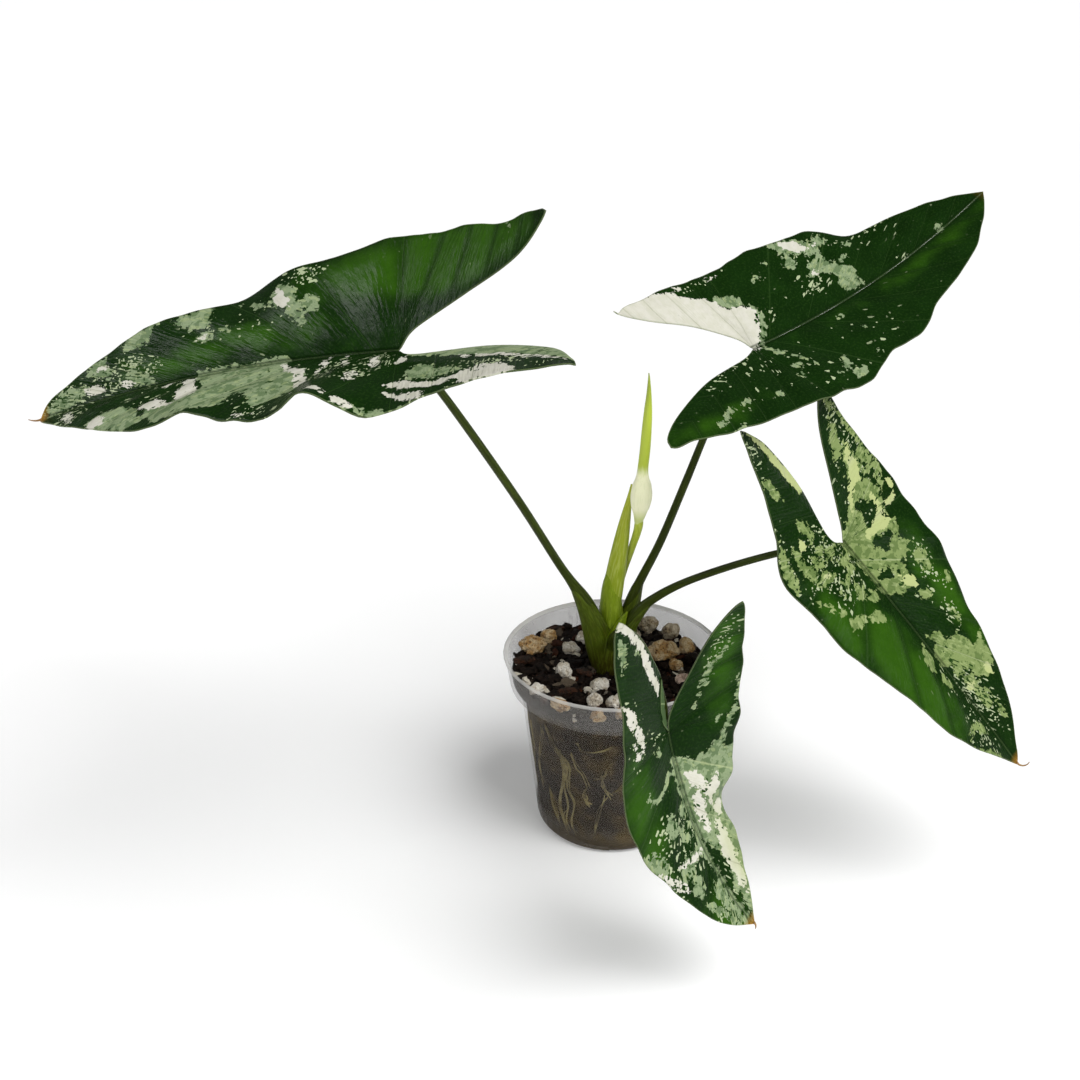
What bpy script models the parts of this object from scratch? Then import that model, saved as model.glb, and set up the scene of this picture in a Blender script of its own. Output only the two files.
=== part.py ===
"""A young alocasia in flower, growing in a clear nursery pot. Metres, +Z up.

The origin is the centre of the pot's foot on the surface it stands on, the front is at -Y
and the longest leaf reaches out to -X.
"""

import math
import random

import bmesh
import bpy
from mathutils import Matrix, Vector, noise

MM = 0.001
GAP = 0.3 * MM

# Pot
POT_HEIGHT = 92 * MM
RIM_RADIUS = 52.5 * MM
LIP = 1.0 * MM
COLLAR_TOP_RADIUS = 51.6 * MM
COLLAR_FOOT_RADIUS = 49.4 * MM
COLLAR_FOOT_HEIGHT = 76.4 * MM
WALL_TOP_RADIUS = 44.6 * MM
WALL_TOP_HEIGHT = 75.0 * MM
WALL_FOOT_RADIUS = 36.2 * MM
BASE_CORNER = 3.6 * MM
POT_WALL = 1.2 * MM
ROUND_STEPS = 48
DRAIN_COUNT = 5
DRAIN_RADIUS = 2.6 * MM
DRAIN_CIRCLE = 22.0 * MM
NOTCH_HEADING = 280.5
NOTCH_WIDTH = 16.0 * MM
NOTCH_HEIGHT = 2.0 * MM
NOTCH_START = 31.0 * MM

# Soil
SOIL_HEIGHT = 82.5 * MM
SOIL_RISE_TO_FRONT = 0.035
SOIL_RELIEF = 1.1 * MM
SOIL_GRAIN = 7.0 * MM
SOIL_RINGS = 6

# Stem, with the rhizome and its roots in the soil
STEM_FOOT = Vector((-3.4, 0.0, 74.0)) * MM
STEM_TOP = Vector((-1.6, 1.0, 99.0)) * MM
STEM_RADII = (6.0, 6.3, 6.5, 6.9, 7.3, 7.5, 7.2, 5.6)
STEM_STEPS = 16
RHIZOME_HEIGHT = 14 * MM
RHIZOME_RADII = (3.2, 4.9, 5.6, 5.8, 5.8)
RHIZOME_GAP = 1.0 * MM
ROOT_COUNT = 7
ROOT_SIDES = 5
ROOT_ARM_POINTS = 4
ROOT_RADIUS = 0.75 * MM
ROOT_START_REACH = 2 * MM
ROOT_START_HEIGHT = 65 * MM
ROOT_BEND_HEIGHT = 58 * MM
ROOT_ARCH = 3 * MM
ROOT_TIP_HEIGHT = 9 * MM
ROOT_WANDER = 0.16
ROOT_POINTS = 11
ROOT_TAPER = 0.35
ROOT_SEED = 100
ROOT_BED = 0.5 * MM

# Blades
BLADE_THICKNESS = 0.8 * MM
MIDRIB_DEPTH = 1.5 * MM
HALF_WIDTH_SHARE = 0.29
LOBE_SHARE = 0.58
DROOP_POWER = 1.3
BEND_STEPS = 24
FOLD_STEPS = 10

# Where the blade's outer margin is measured: shares of its length from the stalk to the tip,
# then shares of the lobe's own length. The inner margin has shares of the lobe too.
STATIONS = (0.97, 0.91, 0.82, 0.70, 0.58, 0.46, 0.33, 0.20, 0.07)
LOBE_STATIONS = (0.12, 0.38, 0.64, 0.86, 0.965)
INNER_STATIONS = (0.12, 0.42, 0.75, 0.94)

# The grid of one half, in stations from the tip (row 0) to the lobe's tip.
BLADE_ROWS = (
    0, 0.5, 1, 2, 2.5, 3, 3.5, 4, 4.5, 5, 5.5, 6, 6.5, 7, 7.5, 8, 8.5, 9, 9.5, 10, 10.5, 11, 12,
    13, 14, 15,
)
STALK_ROW = 9.5
BLADE_COLUMNS = (0.0, 0.06, 0.34, 1.0)
LOBE_COLUMNS = (0.0, 0.5, 1.0)
LOBE_RIB_SHARE = 0.24

# Lengths in millimetres and angles in degrees. The heading runs anticlockwise from +X, and a
# half's widths and lifts run from the tip to the lobe's tip. inner is how far the lobe's inner
# edge bows towards the midrib's line.
LEAVES = {
    "left": {
        "stalk": (-88.0, -64.0, 258.3),
        "heading": 162.0,
        "rise": -9.0,
        "roll": -13.0,
        "length": 164.0,
        "droop": 10.0,
        "sway": 11.5,
        "tip_fold": -7.0,
        "left": {
            "fold": 10.0,
            "camber": 7.0,
            "lobe_lift": 5.0,
            "widths": (5, 11.5, 20, 29, 35, 37.5, 45, 50, 54, 54.5, 47, 42, 37.5, 35),
            "lifts": (0.5, -0.7, -1.4, -3.0, -2.7, 1.3, -1.6, -0.4, 9.4, -1.9, 1.1, 3.5, 2.5, 1.6),
            "lobe_tip": (-80.7, 33.7, 0.2),
            "inner": (-1.7, 11.4, 12.2, 4.2),
        },
        "right": {
            "fold": 35.0,
            "camber": 3.5,
            "lobe_lift": 35.0,
            "widths": (6, 12, 20, 28.5, 34, 37.5, 44, 47.5, 50.5, 50, 48.5, 43, 40, 36.5),
            "lifts": (1.5, 1.9, 1.4, 1.9, -1.9, -6.2, -1.8, -2.4, -0.1, -0.1, 2.2, 2.4, 4.3, 5.6),
            "lobe_tip": (-73.7, 33.9, 6.2),
            "inner": (-5.2, -4.1, 1.6, 1.2),
        },
    },
    "back": {
        "stalk": (57.2, 7.5, 237.7),
        "heading": 36.0,
        "rise": 9.5,
        "roll": 23.0,
        "length": 150.0,
        "droop": -26.0,
        "sway": 5.0,
        "tip_fold": -7.0,
        "left": {
            "fold": 20.0,
            "camber": 6.0,
            "lobe_lift": 20.5,
            "widths": (3.5, 9.5, 16, 21.5, 26, 37.5, 40.5, 43, 41.5, 40.5, 40.5, 37.5, 35, 32),
            "lifts": (-0.2, -0.3, -0.5, -0.9, -3.7, -0.2, 0.9, 0.4, -1.2, -0.2, 0.9, 2.0, 3.3, 4.4),
            "lobe_tip": (-62.6, 33.0, 4.9),
            "inner": (-3.8, -5.5, -1.6, 0.6),
        },
        "right": {
            "fold": 8.5,
            "camber": 5.5,
            "lobe_lift": 0.0,
            "widths": (4.5, 11, 18.5, 24, 28, 35.5, 36, 42, 42.5, 41.5, 40, 36.5, 32, 31),
            "lifts": (0.0, -0.1, -0.5, 0.0, 0.4, -1.0, -1.2, -3.4, -0.2, 0.8, 0.5, -0.3, 0.1, -0.7),
            "lobe_tip": (-73.2, 29.6, -0.7),
            "inner": (0.1, 6.1, 6.5, 4.0),
        },
    },
    "right": {
        "stalk": (97.0, -25.0, 160.0),
        "heading": -20.5,
        "rise": -46.5,
        "roll": 18.5,
        "length": 131.5,
        "droop": 7.0,
        "sway": 4.0,
        "tip_fold": -5.0,
        "left": {
            "fold": 21.5,
            "camber": 6.0,
            "lobe_lift": 26.5,
            "widths": (3.5, 8.5, 16, 23, 28.5, 32.5, 37, 39, 40, 41, 38, 34, 31, 27.5),
            "lifts": (0.5, 0.7, 1.0, 0.7, -0.3, -1.7, -0.3, 1.3, -0.5, -0.4, 0.9, 2.2, 3.4, 4.2),
            "lobe_tip": (-67.1, 25.6, 4.9),
            "inner": (-1.8, -2.1, 0.5, 0.6),
        },
        "right": {
            "fold": 9.5,
            "camber": 15.5,
            "lobe_lift": 19.5,
            "widths": (3, 8, 15.5, 23.5, 28, 32.5, 37, 41.5, 42.5, 44, 37, 31, 27.5, 25),
            "lifts": (0.3, 0.3, -0.1, -0.7, -0.1, 0.0, -0.7, -2.4, -1.0, -3.0, 1.9, 4.1, 3.7, 2.6),
            "lobe_tip": (-72.5, 23.7, 2.2),
            "inner": (-4.0, 7.0, 7.5, 2.5),
        },
    },
    "front": {
        "stalk": (14.7, -113.2, 120.5),
        "heading": -24.5,
        "rise": -77.5,
        "roll": 14.0,
        "length": 97.0,
        "droop": -21.5,
        "sway": 16.0,
        "tip_fold": -15.0,
        "left": {
            "fold": 23.0,
            "camber": -3.5,
            "lobe_lift": 33.0,
            "widths": (2.5, 6.5, 11, 15, 17, 18, 24, 27.5, 31.5, 33, 34, 32, 29, 26.5),
            "lifts": (-0.5, -0.5, -1.0, -1.3, -2.2, -4.8, 0.2, -0.5, 1.0, 1.5, 2.5, 3.1, 3.2, 2.9),
            "lobe_tip": (-60.6, 25.0, 3.0),
            "inner": (1.5, -0.6, 0.5, 0.9),
        },
        "right": {
            "fold": 6.5,
            "camber": 10.0,
            "lobe_lift": 4.5,
            "widths": (3, 8.5, 14, 18.5, 22.5, 27, 30.5, 31.5, 31.5, 31, 29, 28, 26, 24.5),
            "lifts": (0.0, 0.1, -0.6, -0.5, -1.0, -2.3, -1.9, -1.8, -0.9, 2.1, 2.9, 1.8, 1.1, 2.1),
            "lobe_tip": (-59.0, 22.6, 2.4),
            "inner": (7.1, 9.0, 6.1, 2.1),
        },
    },
}

# Stalks: points and radii in millimetres, from inside the stem to just under the blade.
PETIOLE_SIDES = 8
PETIOLE_ROUTES = {
    "left": (
        (-6.3, -0.6, 90, 2.2), (-7.4, -1.4, 100, 2.8), (-9.6, -3.2, 110, 3.7),
        (-14.6, -5.5, 121.5, 3.4), (-21.0, -9.3, 133.5, 2.2), (-27.6, -13.6, 146, 1.9),
        (-44.4, -26.4, 180.8, 1.8), (-66.2, -43.6, 223, 1.7), (-78.1, -55.0, 245, 1.5),
        (-86.6, -63.1, 255.8, 1.0),
    ),
    "back": (
        (2.0, 2.8, 90, 2.0), (3.4, 4.2, 99.5, 2.4), (6.2, 5.6, 110, 2.8),
        (9.5, 5.6, 119.9, 2.6), (12.2, 5.6, 126.8, 2.1), (20.8, 5.9, 146.7, 1.9),
        (31.2, 6.9, 176.3, 1.8), (40.4, 7.4, 203, 1.6), (51.0, 7.5, 226, 1.4),
        (56.8, 7.9, 234.6, 1.0),
    ),
    "right": (
        (2.6, -2.8, 90, 1.9), (4.4, -3.0, 101, 2.2), (9.0, -2.8, 112.4, 2.4),
        (18.4, -2.0, 120.9, 2.1), (31.8, -2.2, 129.0, 1.8), (51.0, -7.6, 139.8, 1.7),
        (69.7, -14.5, 149.5, 1.6), (86.0, -20.6, 156.4, 1.4), (94.6, -24.8, 157.8, 1.0),
    ),
    "front": (
        (-1.8, -4.6, 90, 1.9), (-1.6, -6.6, 98, 2.3), (-0.6, -13.0, 106, 2.5),
        (1.5, -26.0, 116, 2.2), (4.5, -46.0, 126, 2.0), (8.0, -68.0, 131.5, 1.8),
        (11.2, -90.0, 131.0, 1.6), (13.4, -104.0, 126.9, 1.4), (14.0, -110.3, 121.8, 1.0),
    ),
}

# The young leaf's sheath and the flower, in the same form.
SHEATH_SIDES = 12
SHEATH_ROUTE = (
    (-2.2, 1.6, 90, 1.9), (-2.2, 2.0, 99, 2.0), (-2.3, 2.8, 105, 3.4), (-1.9, 3.6, 113, 4.5),
    (-0.4, 4.4, 126, 4.6), (1.6, 6.0, 140, 3.9), (3.8, 8.0, 154, 2.7), (5.9, 9.4, 167, 1.1),
    (6.7, 9.8, 173, 0.4),
)
PEDUNCLE_ROUTE = (
    (-0.8, 6.4, 90, 1.2), (0.2, 9.0, 101, 1.3), (1.8, 11.2, 114, 1.4), (4.4, 11.4, 127.5, 1.5),
    (7.0, 9.6, 140, 1.6), (9.4, 5.6, 151, 1.7), (10.4, 3.0, 157.2, 2.0),
)
SPATHE_ROUTE = (
    (10.5, 2.7, 158.0, 2.2), (10.6, 2.4, 161, 3.4), (10.6, 2.2, 165.6, 4.8),
    (10.7, 2.1, 170.6, 5.2), (10.8, 2.0, 175.6, 4.4), (10.9, 2.0, 180, 3.0),
    (11.1, 2.0, 184.6, 2.4), (11.5, 2.0, 192.6, 2.9), (11.9, 2.1, 201.6, 3.0),
    (12.2, 2.2, 210.6, 2.5), (12.3, 2.4, 218.6, 1.5), (12.2, 2.6, 225.6, 0.4),
)

# Pumice and bark lying on the soil: x, y and height of the centre, then the three sizes and
# the turn about Z in degrees. Lengths are in millimetres.
STONES = (
    ("pumice_tan_01", (-38.6, 16.0, 85.4), (13.0, 11.0, 9.0), 20),
    ("pumice_tan_02", (-31.0, 25.6, 84.6), (9.0, 8.0, 7.5), 50),
    ("pumice_tan_03", (24.6, 9.4, 85.6), (15.0, 11.5, 10.0), 15),
    ("pumice_tan_04", (36.3, 15.4, 85.2), (7.5, 10.0, 8.0), -20),
    ("pumice_tan_05", (29.8, -1.4, 84.6), (6.5, 5.5, 5.5), 0),
    ("pumice_grey_01", (19.6, 37.2, 84.8), (9.5, 8.5, 8.5), 10),
    ("pumice_grey_02", (30.2, 31.0, 84.8), (9.0, 8.5, 8.5), 70),
    ("pumice_grey_03", (12.2, 29.6, 83.4), (7.0, 6.0, 5.5), 35),
    ("pumice_white_01", (-20.0, 14.6, 84.3), (8.5, 7.0, 6.5), -15),
    ("pumice_white_02", (-13.6, 25.4, 84.2), (7.5, 6.5, 6.5), 40),
    ("pumice_white_03", (-24.2, -9.0, 85.2), (7.5, 9.5, 8.5), 10),
    ("pumice_white_04", (-7.4, -20.2, 84.8), (9.0, 7.5, 6.5), 25),
    ("pumice_white_05", (-10.2, -36.4, 86.0), (7.0, 6.5, 9.0), 0),
    ("pumice_white_06", (-2.2, -37.6, 85.6), (6.8, 6.4, 8.0), 60),
    ("pumice_pink_01", (32.6, -17.4, 85.0), (8.5, 9.5, 8.0), 30),
    ("pumice_white_07", (-36.2, -23.6, 84.6), (7.5, 6.0, 5.5), 30),
)
BARK = (
    ("bark_01", (-42.6, 2.6, 85.0), (10.0, 5.5, 3.6), 10),
    ("bark_02", (40.6, 3.4, 85.0), (11.0, 4.5, 3.6), -60),
    ("bark_03", (-27.6, 36.0, 82.7), (11.0, 5.0, 4.0), 25),
    ("bark_04", (-14.0, -8.0, 84.4), (9.0, 5.0, 3.4), -35),
    ("bark_05", (16.0, -22.0, 84.6), (12.0, 5.0, 3.6), 40),
    ("bark_06", (-23.0, -26.0, 84.8), (10.0, 5.0, 3.4), 15),
    ("bark_07", (2.0, 42.0, 82.4), (10.0, 5.0, 3.6), 0),
    ("bark_08", (13.0, -37.0, 85.2), (9.5, 5.0, 3.4), -25),
)
STONE_ROUGHNESS = 0.12
STONE_SEED = 7

# Colour, roughness and metallic value of each sub-part.
FINISHES = {
    "pot": ((0.72, 0.71, 0.69, 1.0), 0.35),
    "soil": ((0.035, 0.022, 0.016, 1.0), 0.9),
    "roots": ((0.55, 0.47, 0.30, 1.0), 0.7),
    "stem": ((0.16, 0.24, 0.05, 1.0), 0.5),
    "petiole": ((0.07, 0.12, 0.03, 1.0), 0.45),
    "leaf": ((0.03, 0.11, 0.03, 1.0), 0.4),
    "sheath": ((0.33, 0.45, 0.12, 1.0), 0.5),
    "peduncle": ((0.36, 0.48, 0.10, 1.0), 0.5),
    "spathe": ((0.75, 0.80, 0.42, 1.0), 0.5),
    "pumice_tan": ((0.55, 0.38, 0.20, 1.0), 0.9),
    "pumice_grey": ((0.45, 0.40, 0.33, 1.0), 0.9),
    "pumice_white": ((0.72, 0.69, 0.63, 1.0), 0.9),
    "pumice_pink": ((0.60, 0.48, 0.40, 1.0), 0.9),
    "bark": ((0.09, 0.045, 0.025, 1.0), 0.85),
}


def clear_scene():
    for obj in list(bpy.data.objects):
        bpy.data.objects.remove(obj, do_unlink=True)


def material(name):
    """The plain finish of one sub-part."""
    color, roughness = FINISHES[name]
    made = bpy.data.materials.get(name)
    if made is None:
        made = bpy.data.materials.new(name)
        made.use_nodes = True
        shader = made.node_tree.nodes["Principled BSDF"]
        shader.inputs["Base Color"].default_value = color
        shader.inputs["Roughness"].default_value = roughness
        shader.inputs["Metallic"].default_value = 0.0
    return made


def piece(name, bm, finish, smooth=True):
    """One named object from a bmesh."""
    mesh = bpy.data.meshes.new(name)
    bm.to_mesh(mesh)
    bm.free()
    if smooth:
        mesh.shade_smooth()
    mesh.materials.append(material(finish))
    obj = bpy.data.objects.new(name, mesh)
    bpy.context.scene.collection.objects.link(obj)
    return obj


def apply_modifiers(obj):
    """Keeps the evaluated shape as the object's own mesh."""
    graph = bpy.context.evaluated_depsgraph_get()
    mesh = bpy.data.meshes.new_from_object(obj.evaluated_get(graph))
    obj.modifiers.clear()
    old = obj.data
    obj.data = mesh
    bpy.data.meshes.remove(old)


def cut(obj, cutters):
    """Takes the cutters' shapes out of an object, then removes them."""
    shapes = bpy.data.collections.new(obj.name + "_cutters")
    for cutter in cutters:
        shapes.objects.link(cutter)
    boolean = obj.modifiers.new("cut", "BOOLEAN")
    boolean.operation = "DIFFERENCE"
    boolean.operand_type = "COLLECTION"
    boolean.collection = shapes
    boolean.solver = "EXACT"
    apply_modifiers(obj)
    bpy.data.collections.remove(shapes)
    for cutter in cutters:
        bpy.data.objects.remove(cutter, do_unlink=True)


def join_solids(obj, others):
    """Fuses other solids into an object, then removes them."""
    shapes = bpy.data.collections.new(obj.name + "_joined")
    for other in others:
        shapes.objects.link(other)
    boolean = obj.modifiers.new("join", "BOOLEAN")
    boolean.operation = "UNION"
    boolean.operand_type = "COLLECTION"
    boolean.collection = shapes
    boolean.solver = "EXACT"
    apply_modifiers(obj)
    bpy.data.collections.remove(shapes)
    for other in others:
        bpy.data.objects.remove(other, do_unlink=True)


def spline(points, per_span):
    """A Catmull-Rom curve through points of any size, with per_span steps between each two."""
    first = [2 * a - b for a, b in zip(points[0], points[1])]
    last = [2 * a - b for a, b in zip(points[-1], points[-2])]
    run = [first, *points, last]
    curve = []
    for i in range(1, len(run) - 2):
        for step in range(per_span):
            curve.append(spline_point(run[i - 1 : i + 3], step / per_span))
    curve.append(tuple(points[-1]))
    return curve


def spline_point(four, t):
    """The point at share t of the span between the middle two of four points."""
    weights = (
        -t + 2 * t**2 - t**3,
        2 - 5 * t**2 + 3 * t**3,
        t + 4 * t**2 - 3 * t**3,
        -(t**2) + t**3,
    )
    return tuple(0.5 * sum(w * p[axis] for w, p in zip(weights, four)) for axis in range(len(four[0])))


def turned(profile, steps, centre=(0.0, 0.0)):
    """A closed body from a half profile of (radius, height) points whose ends lie on the axis."""
    bm = bmesh.new()
    verts = [bm.verts.new((radius, 0.0, height)) for radius, height in profile]
    edges = [bm.edges.new(pair) for pair in zip(verts, verts[1:])]
    bmesh.ops.spin(
        bm, geom=verts + edges, cent=(0, 0, 0), axis=(0, 0, 1), angle=math.tau, steps=steps,
        use_merge=True,
    )
    bmesh.ops.remove_doubles(bm, verts=bm.verts, dist=1e-6)
    bmesh.ops.translate(bm, verts=bm.verts, vec=(*centre, 0.0))
    bmesh.ops.recalc_face_normals(bm, faces=bm.faces)
    return bm


def tube(route, sides, grow=0.0):
    """A closed round tube along (x, y, z, radius) points in metres, grown on every side."""
    bm = bmesh.new()
    rings = []
    across = None
    last = len(route) - 1
    for i, (x, y, z, radius) in enumerate(route):
        before = Vector(route[max(i - 1, 0)][:3])
        after = Vector(route[min(i + 1, last)][:3])
        along = (after - before).normalized()
        here = Vector((x, y, z)) + along * grow * ((i == last) - (i == 0))
        if across is None:
            across = along.orthogonal().normalized()
        across = (across - along * across.dot(along)).normalized()
        circle = bmesh.ops.create_circle(bm, segments=sides, radius=radius + grow)["verts"]
        turn = Matrix((across, along.cross(across), along)).transposed().to_4x4()
        bmesh.ops.transform(bm, matrix=Matrix.Translation(here) @ turn, verts=circle)
        rings.append(circle)
    for low, high in zip(rings, rings[1:]):
        for i in range(sides):
            bm.faces.new((low[i - 1], low[i], high[i], high[i - 1]))
    for ring in (rings[0], rings[-1]):
        bm.faces.new(ring)
    bmesh.ops.recalc_face_normals(bm, faces=bm.faces)
    return bm


def metres(route):
    return [tuple(value * MM for value in point) for point in route]


def fine(route, per_span=2):
    """A route in millimetres as a smooth one in metres."""
    return metres(spline(route, per_span))


def pot_outside():
    """The outer profile from the centre of the foot up to the lip."""
    corner_centre = (WALL_FOOT_RADIUS - BASE_CORNER, BASE_CORNER)
    corner = [
        (corner_centre[0] + BASE_CORNER * math.sin(a), corner_centre[1] - BASE_CORNER * math.cos(a))
        for a in (0.0, math.radians(30), math.radians(60), math.radians(86))
    ]
    return [
        (0.0, 0.0),
        *corner,
        (WALL_TOP_RADIUS, WALL_TOP_HEIGHT),
        (COLLAR_FOOT_RADIUS, COLLAR_FOOT_HEIGHT),
        (COLLAR_TOP_RADIUS, POT_HEIGHT - 2 * LIP),
        (RIM_RADIUS, POT_HEIGHT - LIP),
    ]


def pot_inside(grow=0.0):
    """The inner profile from the lip down to the centre of the floor, set in by grow."""
    inset = POT_WALL + grow
    return [
        (RIM_RADIUS - LIP, POT_HEIGHT),
        (COLLAR_TOP_RADIUS - inset, POT_HEIGHT - 1.5 * LIP),
        (COLLAR_FOOT_RADIUS - inset, COLLAR_FOOT_HEIGHT + inset),
        (WALL_TOP_RADIUS - inset, WALL_TOP_HEIGHT + inset),
        (WALL_FOOT_RADIUS - inset, BASE_CORNER + POT_WALL),
        (WALL_FOOT_RADIUS - inset - 0.7 * BASE_CORNER, inset),
        (0.0, inset),
    ]


def inner_radius(height, grow=0.0):
    """How far the pot's inside reaches at a height, less grow."""
    profile = pot_inside(grow)[::-1]
    for (r0, z0), (r1, z1) in zip(profile, profile[1:]):
        if z0 <= height <= z1 and z1 > z0:
            return r0 + (r1 - r0) * (height - z0) / (z1 - z0)
    return profile[-1][0]


def drain_cutter(turn):
    """A round hole through the floor."""
    bm = bmesh.new()
    bmesh.ops.create_cone(
        bm, cap_ends=True, segments=12, radius1=DRAIN_RADIUS, radius2=DRAIN_RADIUS,
        depth=4 * POT_WALL,
    )
    place = (DRAIN_CIRCLE * math.cos(turn), DRAIN_CIRCLE * math.sin(turn), 0.0)
    bmesh.ops.translate(bm, verts=bm.verts, vec=place)
    return bm


def notch_cutter(turn):
    """A low slot in the corner between the floor and the wall."""
    bm = bmesh.new()
    bmesh.ops.create_cube(bm, size=1.0)
    reach = WALL_FOOT_RADIUS + POT_WALL - NOTCH_START
    bmesh.ops.scale(bm, vec=(reach, NOTCH_WIDTH, 2 * NOTCH_HEIGHT), verts=bm.verts)
    bmesh.ops.translate(bm, verts=bm.verts, vec=(NOTCH_START + reach / 2, 0.0, 0.0))
    bmesh.ops.rotate(bm, verts=bm.verts, matrix=Matrix.Rotation(turn, 3, "Z"))
    return bm


def make_pot():
    """The clear plastic pot, with a collar, a rolled lip and drains in its floor and foot."""
    pot = piece("pot", turned(pot_outside() + pot_inside(), ROUND_STEPS), "pot")
    cutters = []
    for i in range(DRAIN_COUNT):
        notch_turn = math.radians(NOTCH_HEADING) + math.tau * i / DRAIN_COUNT
        cutters.append(piece(f"notch_cutter_{i}", notch_cutter(notch_turn), "pot"))
        cutters.append(piece(f"drain_cutter_{i}", drain_cutter(notch_turn + math.pi / 5), "pot"))
    cut(pot, cutters)
    pot.data.set_sharp_from_angle(angle=math.radians(40))
    return pot


def soil_top(x, y):
    """Height of the soil's surface."""
    grain = noise.noise(Vector((x, y, 0.0)) / SOIL_GRAIN)
    fine_grain = noise.noise(Vector((x, y, 0.02)) / (SOIL_GRAIN / 2.2))
    return SOIL_HEIGHT - SOIL_RISE_TO_FRONT * y + SOIL_RELIEF * (grain + 0.6 * fine_grain)


def soil_solid():
    """The soil, as wide as the pot lets it be, with its grainy top."""
    inside = pot_inside(GAP)[2:]
    profile = [(0.0, SOIL_HEIGHT)]
    edge = inner_radius(SOIL_HEIGHT, GAP)
    profile += [(edge * ring / SOIL_RINGS, SOIL_HEIGHT) for ring in range(1, SOIL_RINGS + 1)]
    bm = turned(profile + inside, ROUND_STEPS)
    for vert in bm.verts:
        if vert.co.z > SOIL_HEIGHT - 1e-6:
            height = soil_top(vert.co.x, vert.co.y)
            reach = math.hypot(vert.co.x, vert.co.y)
            if reach > edge - 1e-6:
                scale = inner_radius(height, GAP) / reach
                vert.co.x *= scale
                vert.co.y *= scale
            vert.co.z = height
    bmesh.ops.triangulate(bm, faces=bm.faces)
    return bm


def stem_solid(grow=0.0):
    """The leaning stem as a stack of rings, closed at both ends."""
    last = len(STEM_RADII) - 1
    places = [STEM_FOOT.lerp(STEM_TOP, i / last) for i in range(last + 1)]
    return tube([(*place, radius * MM) for place, radius in zip(places, STEM_RADII)], STEM_STEPS, grow)


def rhizome_solid(grow=0.0):
    """The stem's foot in the soil."""
    top = STEM_FOOT.z - RHIZOME_GAP
    last = len(RHIZOME_RADII) - 1
    route = [
        (STEM_FOOT.x, STEM_FOOT.y, top - RHIZOME_HEIGHT * (1 - i / last), radius * MM)
        for i, radius in enumerate(RHIZOME_RADII)
    ]
    return tube(route, STEM_STEPS, grow)


def root_route(index):
    """One main root: out of the rhizome, across to the wall and down along it."""
    draw = random.Random(ROOT_SEED + index)
    heading = math.tau * (index + 0.3) / ROOT_COUNT
    drift = draw.uniform(-ROOT_WANDER, ROOT_WANDER)
    swing = draw.uniform(0.5, 1.0) * ROOT_WANDER / 2
    tip = ROOT_TIP_HEIGHT + draw.uniform(0, 14) * MM
    start = ROOT_START_HEIGHT + draw.uniform(-3, 2) * MM
    bend = ROOT_BEND_HEIGHT + draw.uniform(-6, 0) * MM
    route = []
    wall_reach = inner_radius(bend) - ROOT_RADIUS - GAP
    for i in range(ROOT_ARM_POINTS):
        share = i / ROOT_ARM_POINTS
        reach = ROOT_START_REACH + (wall_reach - ROOT_START_REACH) * share
        height = start + (bend + ROOT_ARCH - start) * share
        centre = STEM_FOOT * (1 - share)
        route.append((
            centre.x + reach * math.cos(heading), centre.y + reach * math.sin(heading), height,
            ROOT_RADIUS,
        ))
    for i in range(ROOT_POINTS):
        share = i / (ROOT_POINTS - 1)
        height = bend + (tip - bend) * share
        angle = heading + drift * share + swing * math.sin(7 * share)
        reach = inner_radius(height) - ROOT_RADIUS - GAP
        radius = ROOT_RADIUS * (1 - ROOT_TAPER * share)
        route.append((reach * math.cos(angle), reach * math.sin(angle), height, radius))
    return route


def make_roots():
    """The rhizome with its main roots fused to it."""
    roots = piece("roots", rhizome_solid(), "roots")
    strands = [
        piece(f"root_{i}", tube(root_route(i), ROOT_SIDES), "roots") for i in range(ROOT_COUNT)
    ]
    join_solids(roots, strands)
    return roots


def stalks():
    """Every stalk that stands in the stem: name, route and number of sides."""
    listed = [(f"petiole_{name}", route, PETIOLE_SIDES) for name, route in PETIOLE_ROUTES.items()]
    listed.append(("young_sheath", SHEATH_ROUTE, SHEATH_SIDES))
    listed.append(("peduncle", PEDUNCLE_ROUTE, PETIOLE_SIDES))
    return listed


def make_stem():
    """The stem above the rhizome, with a hole for each stalk that stands in it."""
    stem = piece("stem", stem_solid(), "stem")
    holes = [
        piece(name + "_cutter", tube(fine(route), sides, GAP), "stem")
        for name, route, sides in stalks()
    ]
    cut(stem, holes)
    return stem


def make_stalks():
    """The petioles, the young leaf's sheath, and the flower on its stalk."""
    finishes = {"young_sheath": "sheath", "peduncle": "peduncle"}
    for name, route, sides in stalks():
        piece(name, tube(fine(route), sides), finishes.get(name, "petiole"))
    piece("spathe", tube(fine(SPATHE_ROUTE), SHEATH_SIDES), "spathe")


def stone_solid(place, size, turn, seed, grow=0.0, flat=False):
    """A rough pebble or a chip of bark, from a ball pushed in and out by a noise."""
    bm = bmesh.new()
    bmesh.ops.create_icosphere(bm, subdivisions=1 if flat else 2, radius=1.0)
    offset = Vector((seed * 3.1, seed * 1.7, STONE_SEED))
    for vert in bm.verts:
        direction = vert.co.normalized()
        swell = 1.0 + STONE_ROUGHNESS * noise.noise(direction * 1.7 + offset)
        point = Vector([d * s * MM / 2 * swell for d, s in zip(direction, size)])
        vert.co = point + point.normalized() * grow
    turned_place = Matrix.Translation(Vector(place) * MM) @ Matrix.Rotation(math.radians(turn), 4, "Z")
    bmesh.ops.transform(bm, matrix=turned_place, verts=bm.verts)
    bmesh.ops.recalc_face_normals(bm, faces=bm.faces)
    return bm


def loose_pieces():
    """Every stone and chip with its seed: (name, place, size, turn, seed, flat)."""
    listed = [(*stone, i, False) for i, stone in enumerate(STONES)]
    listed += [(*chip, len(STONES) + i, True) for i, chip in enumerate(BARK)]
    return listed


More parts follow.
